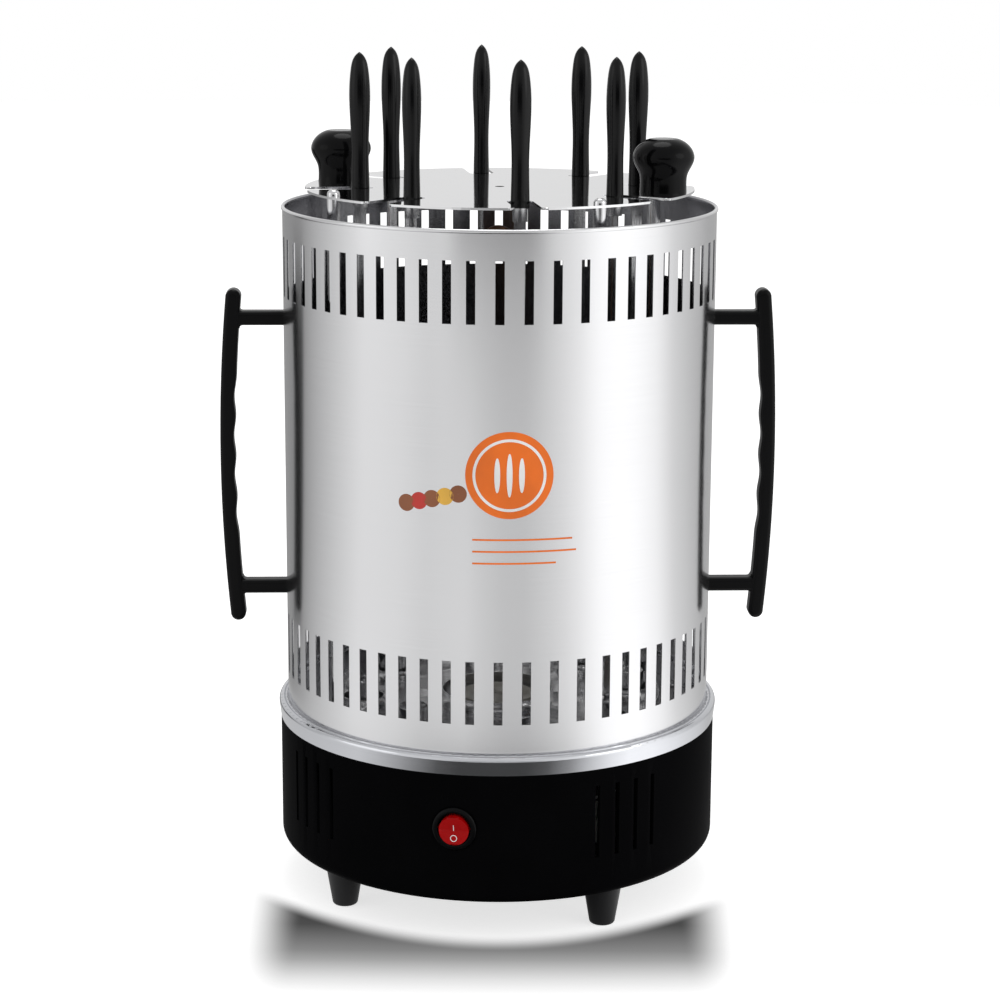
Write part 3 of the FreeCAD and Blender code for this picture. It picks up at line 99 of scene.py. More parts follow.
def angle(name, degrees, description):
    """An angle, given here in degrees and kept in radians."""
    return FloatProperty(name=name, default=math.radians(degrees), subtype="ANGLE",
                         description=description)


def colour(name, red, green, blue, description):
    """A colour in linear light."""
    return FloatVectorProperty(name=name, default=(red, green, blue), subtype="COLOR",
                               min=0.0, max=1.0, description=description)


class ShellSizes(bpy.types.PropertyGroup):
    """The slotted shell and its rolled rim."""
    turn: angle("Turn", 12.6, "Shell and its handles, round the grill")
    slot_turn: angle("Slot turn", -9.1, "First slot, from the shell's middle line")
    radius: length("Radius", 0.115, "Outside of the shell")
    wall: length("Wall", 0.0008, "Sheet of the shell")
    low: length("Foot", 0.1023, "Lower edge above the floor")
    high: length("Top", 0.3707, "Middle of the rolled rim above the floor")
    bead: length("Bead", 0.0011, "Radius of the rolled rim")
    slots: IntProperty(name="Slots", default=58, description="Slots in one row")
    wide_gaps: IntProperty(name="Wide gaps", default=5, description="Wide gaps on each side")
    wide_gap: angle("Wide gap", 7.2, "Slot to slot in front and in the rear")
    slot_width: length("Slot", 0.0046, "Width of a slot")
    lower_low: length("Lower row foot", 0.1193, "Lower slots, lower end")
    lower_high: length("Lower row top", 0.1524, "Lower slots, upper end")
    upper_low: length("Upper row foot", 0.3248, "Upper slots, lower end")
    upper_high: length("Upper row top", 0.3563, "Upper slots, upper end")
    ring_lean: length("Ring lean", 0.0009, "Foot of the ring's wall, drawn in by this")


class LabelSizes(bpy.types.PropertyGroup):
    """The plain print on the shell: a roundel, three rules and a row of dots."""
    turn: angle("Turn", 13.3, "Middle of the roundel, round the grill")
    level: length("Level", 0.2492, "Middle of the roundel above the floor")
    radius: length("Radius", 0.0222, "Outside of the roundel")
    ring: length("Ring", 0.0178, "White ring on the roundel")
    line: length("Line", 0.0007, "Width of that ring")
    bar: length("Bar", 0.0112, "Half the height of the middle spindle")
    rule_down: length("Rule down", -0.0330, "Upper rule, from the roundel's middle")
    rule_pitch: length("Rule pitch", 0.0061, "Rule to rule")
    rule_long: length("Rule length", 0.0530, "Longest rule")
    rule_high: length("Rule height", 0.0009, "Height of a rule")
    dots_left: length("Dots left", -0.0530, "First dot, from the roundel's middle")
    dots_down: length("Dots down", -0.0160, "First dot, below the roundel's middle")
    dot: length("Dot", 0.0044, "Radius of a dot")
    film: length("Film", 0.00012, "Thickness of the film")


class MarkSizes(bpy.types.PropertyGroup):
    """The white marks for on and off on the rocker."""
    level: length("Level", 0.0645, "Middle of the switch above the floor")
    bar_up: length("Bar up", 0.0011, "Bar above the middle of the switch")
    bar_height: length("Bar height", 0.0032, "Height of the bar")
    round_up: length("Round up", -0.0046, "Round mark above the middle of the switch")
    round_radius: length("Round radius", 0.0016, "Middle line of the round mark")
    line: length("Line", 0.00034, "Width of the lines")
    film: length("Film", 0.00008, "Thickness of the marks")


class StageSizes(bpy.types.PropertyGroup):
    """Camera and lamps."""
    turn: angle("Camera turn", 10.5, "Camera, round the grill")
    distance: length("Distance", 1.3854, "Camera from the grill's axis, level")
    height: length("Height", 0.5241, "Camera above the floor")
    pitch: angle("Pitch", 12.742, "Camera looks down by this")
    roll: angle("Roll", 0.27, "Camera rolls by this")
    lens: FloatProperty(name="Lens", default=94.05, description="Focal length on a 36 mm sensor")
    shift: FloatProperty(name="Shift", default=0.0018, description="Sideways shift of the lens")
    floor_gain: FloatProperty(name="Floor gain", default=0.7, description="The floor's lit share")
    floor_glow: FloatProperty(name="Floor glow", default=0.7, description="Its share of white")
    band_start: length("Band start", 0.113, "Band of shade before the base, from the axis")
    band_curve: FloatProperty(name="Band curve", default=4.2, description="How the band bends")


class FinishColours(bpy.types.PropertyGroup):
    """Colours of the finishes."""
    steel: colour("Shell steel", 0.70, 0.70, 0.71, "Brushed stainless shell")
    # Painted shade: the shell's inner side is the same steel, darker here for the shade within the
    # shell.
    inside: colour("Shell inside", 0.36, 0.36, 0.38, "Inner side of the shell")
    mirror: colour("Mirror", 0.78, 0.78, 0.79, "Polished rack plate")
    ring: colour("Ring", 0.62, 0.63, 0.66, "Turned aluminium ring")
    black: colour("Black", 0.0022, 0.0022, 0.0025, "Black plastic")
    red: colour("Red", 0.34, 0.001, 0.0015, "Rocker")
    orange: colour("Orange", 0.85, 0.16, 0.005, "Roundel")
    heater: colour("Heater", 0.16, 0.085, 0.05, "Sheath, coloured by heat")
    rubber: colour("Rubber", 0.008, 0.008, 0.009, "Feet")
    nylon: colour("Nylon", 0.66, 0.63, 0.56, "Gears")
    ceramic: colour("Ceramic", 0.62, 0.6, 0.54, "Heater socket")
    floor: colour("Floor", 0.86, 0.86, 0.86, "Pale floor")


GROUPS = {"grill_shell": ShellSizes, "grill_label": LabelSizes, "grill_marks": MarkSizes,
          "grill_stage": StageSizes, "grill_colours": FinishColours}


# Finishes

class Graph:
    """A node tree in the making."""

    def __init__(self, tree, place):
        self.tree = tree
        self.place = self.add("ShaderNodeTexCoord").outputs[place]

    def set(self, node, inputs):
        """Give a node's sockets a value or a link each."""
        for key, value in inputs.items():
            socket = node.inputs[key]
            if isinstance(value, bpy.types.NodeSocket):
                self.tree.links.new(value, socket)
            elif hasattr(value, "__len__") and len(socket.default_value) == 4:
                socket.default_value = (*value, 1.0)[:4]
            else:
                socket.default_value = value

    def add(self, kind, inputs=None, **settings):
        """Add a node with its settings and inputs."""
        node = self.tree.nodes.new(kind)
        for key, value in settings.items():
            setattr(node, key, value)
        self.set(node, inputs or {})
        return node

    def math(self, operation, first, second=0.0):
        """One sum of two numbers."""
        return self.add("ShaderNodeMath", {0: first, 1: second}, operation=operation).outputs[0]

    def scaled(self, scale):
        """Object coordinates stretched by three factors."""
        return self.add("ShaderNodeMapping", {"Vector": self.place, "Scale": scale}).outputs[0]

    def round_axis(self, scale_round, scale_up, scale_out=0.0):
        """Coordinates that run round the Z axis, up it and out from it."""
        split = self.add("ShaderNodeSeparateXYZ", {"Vector": self.place}).outputs
        turned = self.math("ARCTAN2", split[1], split[0])
        flat = self.reach()
        return self.add("ShaderNodeCombineXYZ", {
            0: self.math("MULTIPLY", turned, scale_round),
            1: self.math("MULTIPLY", split[2], scale_up),
            2: self.math("MULTIPLY", flat, scale_out)}).outputs[0]

    def noise(self, vector, scale=1.0, detail=3.0, rough=0.55):
        """Noise between 0 and 1."""
        return self.add("ShaderNodeTexNoise", {"Vector": vector, "Scale": scale, "Detail": detail,
                                               "Roughness": rough}).outputs["Fac"]

    def ramp(self, factor, stops):
        """A colour ramp through (place, colour) stops; a single number is a grey."""
        node = self.add("ShaderNodeValToRGB", {"Fac": factor})
        elements = node.color_ramp.elements
        while len(elements) < len(stops):
            elements.new(0.5)
        for element, (place, shade) in zip(elements, stops):
            element.position = place
            shade = shade if hasattr(shade, "__len__") else (shade,)*3
            element.color = (*shade, 1.0)
        return node.outputs["Color"]

    def span(self, factor, low, high):
        """Turn 0..1 into low..high."""
        return self.add("ShaderNodeMapRange", {"Value": factor, "To Min": low,
                                               "To Max": high}).outputs[0]

    def heading(self, start):
        """Direction round Z from a start, counted from -Y towards +X, as -0.5 to 0.5 turn."""
        split = self.add("ShaderNodeSeparateXYZ", {"Vector": self.place}).outputs
        turned = self.math("ARCTAN2", split[0], self.math("MULTIPLY", split[1], -1.0))
        behind = self.math("ADD", turned, math.pi - start)
        wrapped = self.add("ShaderNodeMath", {0: behind, 1: 2*math.pi, 2: 0.0}, operation="WRAP")
        return self.math("DIVIDE", wrapped.outputs[0], 2*math.pi)

    def walls(self, start, levels, peak):
        """Brightness round Z, over a peak, from a list of (degrees from the start, level)."""
        stops = [((turn + 180)/360, level/peak) for turn, level in levels]
        return self.ramp(self.heading(start), stops)

    def reach(self):
        """Distance from the Z axis."""
        split = self.add("ShaderNodeSeparateXYZ", {"Vector": self.place}).outputs
        return self.math("SQRT", self.math("ADD", self.math("MULTIPLY", split[0], split[0]),
                                           self.math("MULTIPLY", split[1], split[1])))

    def step(self, value, low, high, start=0.0, end=1.0):
        """A smooth step from start to end between two values."""
        return self.add("ShaderNodeMapRange", {"Value": value, "From Min": low, "From Max": high,
                                               "To Min": start, "To Max": end},
                        interpolation_type="SMOOTHSTEP").outputs[0]

    def mixed(self, factor, first, second):
        """Two shaders or two colours mixed by a factor."""
        if first.type == "SHADER":
            return self.add("ShaderNodeMixShader", {0: factor, 1: first, 2: second}).outputs[0]
        node = self.add("ShaderNodeMix", data_type="RGBA")
        self.join(node, "Factor", factor)
        self.join(node, "A", first)
        self.join(node, "B", second)
        return self.result(node)

    def join(self, node, name, value):
        """Link a value to the socket in use that has this name."""
        socket = next(item for item in node.inputs if item.name == name and item.enabled)
        self.tree.links.new(value, socket)

    def result(self, node):
        """The node's socket in use."""
        return next(item for item in node.outputs if item.enabled)

    def span_of(self, value, low, high):
        """Turn low..high into 0..1."""
        return self.add("ShaderNodeMapRange", {"Value": value, "From Min": low,
                                               "From Max": high}).outputs[0]


class Finish(Graph):
    """A material in the making: its nodes, its links and its shader."""

    def __init__(self, name, base, metallic=0.0, roughness=0.4, **sockets):
        self.material = bpy.data.materials.new(name)
        self.material.use_nodes = True
        super().__init__(self.material.node_tree, "Object")
        self.shader = self.tree.nodes["Principled BSDF"]
        self.set(self.shader, {"Base Color": base, "Metallic": metallic, "Roughness": roughness,
                               **sockets})

    def bump(self, height, strength, distance):
        """Use a height as the shader's bump."""
        node = self.add("ShaderNodeBump", {"Height": height, "Strength": strength,
                                           "Distance": distance})
        self.set(self.shader, {"Normal": node.outputs[0]})
        return self


def shades(base, low, high):
    """Two stops that darken and lighten a colour."""
    return [(0.25, [channel*low for channel in base]),
            (0.75, [min(1.0, channel*high) for channel in base])]


def brushed_round(name, base, roughness, lines=9000.0, stretch=2.0, anisotropy=0.55,
                  inside=None, radius=0.0):
    """Metal brushed round the Z axis: fine rings of tone, and highlights drawn out upwards.
    Within a radius, above 0.15 to 0.25 m, it turns to a darker colour: painted shade on the shell's
    inner side, kept brighter lower down as painted light from the lower slots."""
    finish = Finish(name, base, 1.0, roughness, Anisotropic=anisotropy)
    grain = finish.noise(finish.round_axis(stretch, lines, lines), 1.0, 2.0)
    cloud = finish.noise(finish.scaled((9, 9, 5)), 1.0, 2.0)
    blend = finish.math("ADD", finish.math("MULTIPLY", grain, 0.6),
                        finish.math("MULTIPLY", cloud, 0.4))
    tangent = finish.add("ShaderNodeTangent", direction_type="RADIAL", axis="Z").outputs[0]
    tone = finish.ramp(blend, shades(base, 0.94, 1.05))
    # Painted shade: the inner side turns to the darker colour above 0.15 to 0.25 m, brighter below it.
    if inside:
        dim = finish.ramp(blend, shades(inside, 0.94, 1.05))
        level = finish.add("ShaderNodeSeparateXYZ", {"Vector": finish.place}).outputs[2]
        share = finish.math("MULTIPLY", finish.math("LESS_THAN", finish.reach(), radius),
                            finish.step(level, 0.15, 0.25))
        tone = finish.mixed(share, tone, dim)
    finish.set(finish.shader, {
        "Base Color": tone,
        "Roughness": finish.span(grain, roughness - 0.04, roughness + 0.04),
        "Anisotropic Rotation": 0.25, "Tangent": tangent})
    return finish.bump(grain, 0.05, 0.00003).material


def plain_metal(name, base, roughness, scale=260.0):
    """Rolled or plated metal with a faint grain."""
    finish = Finish(name, base, 1.0, roughness)
    grain = finish.noise(finish.scaled((scale, scale*0.15, scale*0.4)), 1.0, 3.0)
    finish.set(finish.shader, {
        "Base Color": finish.ramp(grain, shades(base, 0.9, 1.06)),
        "Roughness": finish.span(grain, roughness - 0.04, roughness + 0.06)})
    return finish.bump(grain, 0.04, 0.00005).material


def mirror_metal(name, base):
    """Polished sheet: a mirror with faint wipe marks and a slight waviness."""
    finish = Finish(name, base, 1.0, 0.05)
    wipes = finish.noise(finish.scaled((60, 400, 60)), 1.0, 4.0)
    waves = finish.noise(finish.scaled((14, 14, 14)), 1.0, 1.0)
    finish.set(finish.shader, {
        "Base Color": finish.ramp(wipes, shades(base, 0.97, 1.02)),
        "Roughness": finish.span(wipes, 0.03, 0.09)})
    return finish.bump(waves, 0.06, 0.0006).material


def moulded(name, base, roughness, specular=0.5, grain=1600.0, depth=0.08, **sockets):
    """Moulded plastic, rubber or ceramic: a fine skin grain with uneven gloss."""
    finish = Finish(name, base, 0.0, roughness, **{"Specular IOR Level": specular, **sockets})
    skin = finish.noise(finish.scaled((grain,)*3), 1.0, 2.0)
    cloud = finish.noise(finish.scaled((38, 38, 30)), 1.0, 3.0)
    finish.set(finish.shader, {
        "Base Color": finish.ramp(cloud, shades(base, 0.85, 1.15)),
        "Roughness": finish.span(cloud, roughness - 0.05, roughness + 0.06)})
    return finish.bump(skin, depth, 0.00008).material


def tempered(name, base):
    """A sheathed heater: brown and straw patches from heat, with greyer patches, laid out by noise."""
    finish = Finish(name, base, 0.85, 0.42)
    cloud = finish.noise(finish.scaled((30, 30, 11)), 1.0, 4.0, 0.6)
    straw = [channel*1.9 for channel in base]
    grey = [0.1, 0.095, 0.1]
    finish.set(finish.shader, {
        "Base Color": finish.ramp(cloud, [(0.3, grey), (0.47, base), (0.62, straw),
                                          (0.8, [channel*1.2 for channel in base])]),
        "Roughness": finish.span(cloud, 0.34, 0.55)})
    return finish.bump(finish.noise(finish.scaled((900,)*3)), 0.12, 0.0001).material


def make_finishes(paint, shell):
    """Every finish of the grill by name."""
    black = tuple(paint.black)
    return {
        "shell_steel": brushed_round("shell_steel", tuple(paint.steel), 0.17,
                                     inside=tuple(paint.inside),
                                     radius=shell.radius - shell.wall/2),
        "ring_aluminium": brushed_round("ring_aluminium", tuple(paint.ring), 0.13, 7000.0, 1.0, 0.4),
        "mirror_steel": mirror_metal("mirror_steel", tuple(paint.mirror)),
        "deck_steel": plain_metal("deck_steel", (0.55, 0.55, 0.56), 0.3),
        "tray_steel": brushed_round("tray_steel", (0.78, 0.78, 0.79), 0.26),
        "plate_steel": plain_metal("plate_steel", (0.45, 0.45, 0.46), 0.38),
        "pillar_steel": plain_metal("pillar_steel", (0.6, 0.6, 0.61), 0.22),
        "motor_steel": plain_metal("motor_steel", (0.5, 0.48, 0.42), 0.35),
        "brass_pinion": plain_metal("brass_pinion", (0.68, 0.47, 0.17), 0.28),
        "screw_steel": plain_metal("screw_steel", (0.55, 0.55, 0.56), 0.25),
        "socket_steel": brushed_round("socket_steel", (0.55, 0.55, 0.56), 0.22),
        "blade_steel": plain_metal("blade_steel", (0.62, 0.62, 0.63), 0.2, 500.0),
        "post_steel": plain_metal("post_steel", (0.66, 0.66, 0.67), 0.12, 180.0),
        "base_plastic": moulded("base_plastic", black, 0.45, 0.003),
        "cover_steel": moulded("cover_steel", (0.01, 0.01, 0.011), 0.45, 0.3),
        "grip_plastic": moulded("grip_plastic", black, 0.16, 0.2, 900.0, 0.03),
        "knob_plastic": moulded("knob_plastic", black, 0.14, 0.1, 900.0, 0.03),
        "handle_plastic": moulded("handle_plastic", black, 0.3, 0.1),
        "switch_plastic": moulded("switch_plastic", black, 0.25, 0.1),
        "foot_rubber": moulded("foot_rubber", tuple(paint.rubber), 0.5, 0.3, 1100.0, 0.15),
        "rocker_red": moulded("rocker_red", tuple(paint.red), 0.25, 0.15, 700.0, 0.03,
                              **{"Coat Weight": 0.12, "Coat Roughness": 0.08}),
        "gear_plastic": moulded("gear_plastic", tuple(paint.nylon), 0.45),
        "terminal_plastic": moulded("terminal_plastic", (0.75, 0.74, 0.7), 0.4),
        "heater_ceramic": moulded("heater_ceramic", tuple(paint.ceramic), 0.35, 0.5, 600.0, 0.1),
        "heater_sheath": tempered("heater_sheath", tuple(paint.heater)),
        "mark_white": moulded("mark_white", (0.8, 0.8, 0.8), 0.4),
        "label_orange": moulded("label_orange", tuple(paint.orange), 0.35, 0.5, 900.0, 0.02),
        "label_white": moulded("label_white", (0.85, 0.85, 0.84), 0.35, 0.5, 900.0, 0.02),
        "label_brown": moulded("label_brown", (0.26, 0.085, 0.03), 0.35, 0.5, 900.0, 0.02),
        "label_red": moulded("label_red", (0.5, 0.03, 0.02), 0.35, 0.5, 900.0, 0.02),
        "label_yellow": moulded("label_yellow", (0.8, 0.45, 0.06), 0.35, 0.5, 900.0, 0.02),
    }


FINISHES = {}


# Shapes

def grid_faces(rows, columns, closed=False):
    """Corner numbers of the quads of a grid, row by row; closed joins last column to first."""
    last = columns if closed else columns - 1
    row, column = np.meshgrid(np.arange(rows - 1), np.arange(last), indexing="ij")
    ahead = (column + 1) % columns
    corners = np.stack([row*columns + column, row*columns + ahead,
                        (row + 1)*columns + ahead, (row + 1)*columns + column], axis=-1)
    return corners.reshape(-1, 4)


def round_points(radii, levels, turns):
    """Points of a surface of revolution: each profile point swept through every turn."""
    radii, levels = np.asarray(radii, float)[:, None], np.asarray(levels, float)[:, None]
    turns = np.asarray(turns, float)[None, :]
    across = radii*np.sin(turns)
    along = -radii*np.cos(turns)
    up = np.broadcast_to(levels, across.shape)
    return np.stack([across, along, up], axis=-1).reshape(-1, 3)


def mesh_piece(name, points, faces, finish, body_name, sharp=32.0):
    """Put whole arrays of points and faces into a mesh that rides on a body."""
    mesh = bpy.data.meshes.new(name)
    mesh.from_pydata(np.asarray(points).tolist(), [], [list(face) for face in faces])
    mesh.validate()
    mesh.shade_smooth()
    mesh.set_sharp_from_angle(angle=math.radians(sharp))
    mesh.materials.append(FINISHES[finish])
    piece = bpy.data.objects.new(name, mesh)
    bpy.context.scene.collection.objects.link(piece)
    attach(piece, body_name)
    return piece


def lean_in(work, step):
    """Draw in the foot of an outside wall: its lowest, widest corners move in by a step, so that
    the wall looks down a little."""
    low = min(corner.co.z for corner in work.verts)
    wide = max(corner.co.xy.length for corner in work.verts)
    for corner in work.verts:
        away = corner.co.xy.length
        if corner.co.z < low + 1e-5 and away > wide - 1e-5:
            corner.co.xy *= (away - step)/away


def smooth_copy(node, finish, lean=0.0):
    """A merged, smooth-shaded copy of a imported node, which it stands for."""
    source = frame["nodes"][node]
    mesh = source.data.copy()
    mesh.name = node + "_smooth"
    work = bmesh.new()
    work.from_mesh(mesh)
    bmesh.ops.remove_doubles(work, verts=work.verts, dist=1e-6)
    if lean:
        lean_in(work, lean)
    work.to_mesh(mesh)
    work.free()
    mesh.shade_smooth()
    mesh.set_sharp_from_angle(angle=math.radians(32))
    mesh.materials.clear()
    mesh.materials.append(FINISHES[finish])
    piece = bpy.data.objects.new(node + "_smooth", mesh)
    bpy.context.scene.collection.objects.link(piece)
    flats = piece.modifiers.new("flats", "WEIGHTED_NORMAL")
    flats.keep_sharp, flats.weight = True, 80
    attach(piece, source["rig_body"])
    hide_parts(node)
    return piece


def thickened(points, inner, faces):
    """A sheet with its back and its edges: the back is turned over, and each free edge is walled."""
    count = len(points)
    sides = np.concatenate([faces[:, [0, 1]], faces[:, [1, 2]], faces[:, [2, 3]], faces[:, [3, 0]]])
    keys = np.sort(sides, axis=1)
    _, first, uses = np.unique(keys[:, 0]*count + keys[:, 1], return_index=True, return_counts=True)
    free = sides[first[uses == 1]]
    walls = np.stack([free[:, 1], free[:, 0], free[:, 0] + count, free[:, 1] + count], axis=1)
    back = faces[:, ::-1] + count
    return np.concatenate([points, inner]), np.concatenate([faces, back, walls])


def shell_sheet(sizes):
    """The slotted cylinder. Columns run round it with an edge on every slot's side, rows run up
    it with an edge on every slot's end, and the cells inside a slot are left out."""
    half = math.asin(sizes.slot_width/2/sizes.radius)
    narrow = sizes.slots//2 - sizes.wide_gaps
    gap = (math.pi - sizes.wide_gaps*sizes.wide_gap)/narrow
    gaps = np.array(([sizes.wide_gap]*sizes.wide_gaps + [gap]*narrow)*2)
    first = np.concatenate([[0.0], np.cumsum(gaps)[:-1]]) + sizes.turn + sizes.slot_turn
    share = np.array([0.0, 0.0, 0.0, 1/3, 2/3])
    edge = np.array([-half, 0.0, half, half, half])
    turns = (first[:, None] + edge + share*(gaps - 2*half)[:, None]).ravel()
    levels = np.concatenate([
        np.linspace(sizes.low, sizes.lower_low, 4)[:-1],
        np.linspace(sizes.lower_low, sizes.lower_high, 6)[:-1],
        np.linspace(sizes.lower_high, sizes.upper_low, 24)[:-1],
        np.linspace(sizes.upper_low, sizes.upper_high, 6)[:-1],
        np.linspace(sizes.upper_high, sizes.high, 4)])
    columns, rows = len(turns), len(levels)
    faces = grid_faces(rows, columns, closed=True)
    middle = (levels[:-1] + levels[1:])/2
    cut_row = (((middle > sizes.lower_low) & (middle < sizes.lower_high))
               | ((middle > sizes.upper_low) & (middle < sizes.upper_high)))
    cut_column = np.arange(columns) % len(share) < 2
    kept = ~(cut_row[:, None] & cut_column[None, :]).ravel()
    outer = round_points(np.full(rows, sizes.radius), levels, turns)
    inner = round_points(np.full(rows, sizes.radius - sizes.wall), levels, turns)
    return thickened(outer, inner, faces[kept])


def turned_ring(radii, levels, segments):
    """A closed profile swept once round the Z axis."""
    turns = np.linspace(0, 2*math.pi, segments, endpoint=False)
    points = round_points(radii, levels, turns)
    rows = len(radii)
    faces = grid_faces(rows + 1, segments, closed=True) % (rows*segments)
    return points, faces


def on_shell(label, shell, across, up, lift):
    """Points on the shell round a label's middle: across is measured along the sheet."""
    turns = label.turn + across/shell.radius
    radius = shell.radius + lift
    return np.stack([radius*np.sin(turns), -radius*np.cos(turns), label.level + up], axis=-1)


def disc_grid(low, high, rows, columns):
    """A ring between two radii in the plane, as arrays of across and up."""
    radii = np.linspace(low, high, rows)[:, None]
    turns = np.linspace(0, 2*math.pi, columns, endpoint=False)[None, :]
    return radii*np.sin(turns), radii*np.cos(turns)


def rule_grid(middle, level, width, height):
    """A plain upright rectangle round a middle."""
    across = np.linspace(-width/2, width/2, 33)[None, :] + np.zeros((3, 1))
    up = np.linspace(-height/2, height/2, 3)[:, None] + np.zeros((1, 33))
    return middle + across, level + up


def spindle_grid(middle, height, width, rows, columns):
    """An upright spindle: at height t of -1 to 1 it is width*sqrt(1 - t*t) wide to each side."""
    share = np.linspace(-0.98, 0.98, rows)[:, None]
    side = np.linspace(-1, 1, columns)[None, :]
    return middle + width*np.sqrt(1 - share**2)*side, height*share + 0*side


def film_piece(name, label, shell, grids, layer, finish):
    """A film on the shell made of grids of across and up, each with a front, a back and edges."""
    points, faces, start = [], [], 0
    for (across, up), closed in grids:
        front = on_shell(label, shell, across, up, layer*label.film).reshape(-1, 3)
        back = on_shell(label, shell, across, up, (layer - 0.9)*label.film).reshape(-1, 3)
        cells = grid_faces(*across.shape, closed=closed)
        if closed:
            cells = cells[:, ::-1]
        sheet, sides = thickened(front, back, cells)
        points.append(sheet)
        faces.append(sides + start)
        start += len(sheet)
    return mesh_piece(name, np.concatenate(points), np.concatenate(faces), finish, "shell_body")


def on_rocker(rocker, across, up, lift):
    """Points straight in front of the rocker's face, lifted off it towards -Y."""
    found = []
    for x, z in zip(across.ravel(), up.ravel()):
        hit, place, _, _ = rocker.ray_cast(Vector((x, -1, z)), Vector((0, 1, 0)))
        if not hit:
            raise RuntimeError("a mark misses the rocker")
        found.append((x, place.y - lift, z))
    return np.array(found)


# Operators

class GRILL_OT_finishes(bpy.types.Operator):
    """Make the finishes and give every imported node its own"""
    bl_idname = "grill.finishes"
    bl_label = "Finishes"

    def execute(self, context):
        FINISHES.update(make_finishes(context.scene.grill_colours, context.scene.grill_shell))
        slots = {part["node"]: part["material_slot"] for part in frame["record"]["subparts"]}
        for name, node in frame["nodes"].items():
            if slots[name] not in FINISHES:
                raise RuntimeError(f"no finish for {slots[name]}")
            node.data.materials.clear()
            node.data.materials.append(FINISHES[slots[name]])
        return {"FINISHED"}


class GRILL_OT_shell(bpy.types.Operator):
    """Build the slotted shell and its rolled rim"""
    bl_idname = "grill.shell"
    bl_label = "Shell"

    def execute(self, context):
        sizes = context.scene.grill_shell
        points, faces = shell_sheet(sizes)
        skin = mesh_piece("shell_skin", points, faces, "shell_steel", "shell_body")
        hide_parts("shell")
        around = np.linspace(0, 2*math.pi, 16, endpoint=False)
        radii = sizes.radius - sizes.wall/2 + sizes.bead*np.cos(around)
        levels = sizes.high + sizes.bead*np.sin(around)
        points, faces = turned_ring(radii, levels, 256)
        mesh_piece("shell_rim", points, faces, "shell_steel", "shell_body")
        return {"FINISHED"}


class GRILL_OT_label(bpy.types.Operator):
    """Lay a plain roundel, three rules and a row of dots on the shell"""
    bl_idname = "grill.label"
    bl_label = "Label"

    def execute(self, context):
        label, shell = context.scene.grill_label, context.scene.grill_shell
        disc = [(disc_grid(label.radius*0.02, label.radius, 12, 96), True)]
        film_piece("label_disc", label, shell, disc, 1, "label_orange")
        ring = [(disc_grid(label.ring - label.line, label.ring + label.line, 3, 96), True)]
        film_piece("label_ring", label, shell, ring, 2, "label_white")
        spindles = [(spindle_grid(side*label.bar*0.55, label.bar*tall, label.bar*0.13, 25, 5),
                     False) for side, tall in ((-1, 0.8), (0, 1), (1, 0.8))]
        film_piece("label_spindles", label, shell, spindles, 2, "label_white")
        start = -0.35*label.rule_long
        rules = [(rule_grid(start + share*label.rule_long/2, label.rule_down - row*label.rule_pitch,
                            share*label.rule_long, label.rule_high), False)
                 for row, share in enumerate((0.96, 1.0, 0.8))]
        film_piece("label_rules", label, shell, rules, 1, "label_orange")
        for finish, places in (("label_brown", (0, 2, 4)), ("label_red", (1,)),
                               ("label_yellow", (3,))):
            dots = []
            for place in places:
                across, up = disc_grid(label.dot*0.02, label.dot, 4, 40)
                dots.append(((across + label.dots_left + 1.55*label.dot*place,
                              up + label.dots_down + 0.35*label.dot*place), True))
            film_piece(finish + "_dots", label, shell, dots, 1, finish)
        return {"FINISHED"}


class GRILL_OT_marks(bpy.types.Operator):
    """Put the marks for on and off on the rocker"""
    bl_idname = "grill.marks"
    bl_label = "Marks"

    def execute(self, context):
        marks, rocker = context.scene.grill_marks, frame["nodes"]["switch_rocker"]
        half = marks.line/2
        side, share = np.meshgrid(np.linspace(-half, half, 3), np.linspace(-0.5, 0.5, 9))
        bar = (side, marks.level + marks.bar_up + marks.bar_height*share)
        across, up = disc_grid(marks.round_radius - half, marks.round_radius + half, 3, 48)
        ring = (across, marks.level + marks.round_up + up)
        for name, (across, up), closed in (("mark_on", bar, False), ("mark_off", ring, True)):
            front = on_rocker(rocker, across, up, marks.film)
            back = on_rocker(rocker, across, up, 0.1*marks.film)
            cells = grid_faces(*across.shape, closed=closed)
            if closed:
                cells = cells[:, ::-1]
            points, faces = thickened(front, back, cells)
            mesh_piece(name, points, faces, "mark_white", "rocker")
        return {"FINISHED"}


class GRILL_OT_copies(bpy.types.Operator):
    """Stand smooth-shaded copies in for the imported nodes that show"""
    bl_idname = "grill.copies"
    bl_label = "Smooth copies"

    def execute(self, context):
        slots = {part["node"]: part["material_slot"] for part in frame["record"]["subparts"]}
        lean = {"base_ring": context.scene.grill_shell.ring_lean}
        for name in frame["nodes"]:
            if name != "shell":
                smooth_copy(name, slots[name], lean.get(name, 0.0))
        return {"FINISHED"}


class GRILL_OT_stage(bpy.types.Operator):
    """Set the camera, the lamps, the pale floor and the studio round the grill"""
    bl_idname = "grill.stage"
    bl_label = "Stage"

    def execute(self, context):
        scene, sizes = context.scene, context.scene.grill_stage
        make_camera(scene, sizes)
        make_floor(scene, sizes)
        make_lamps(scene, sizes)
        make_studio(scene, sizes)
        scene.view_settings.view_transform = "Standard"
        return {"FINISHED"}


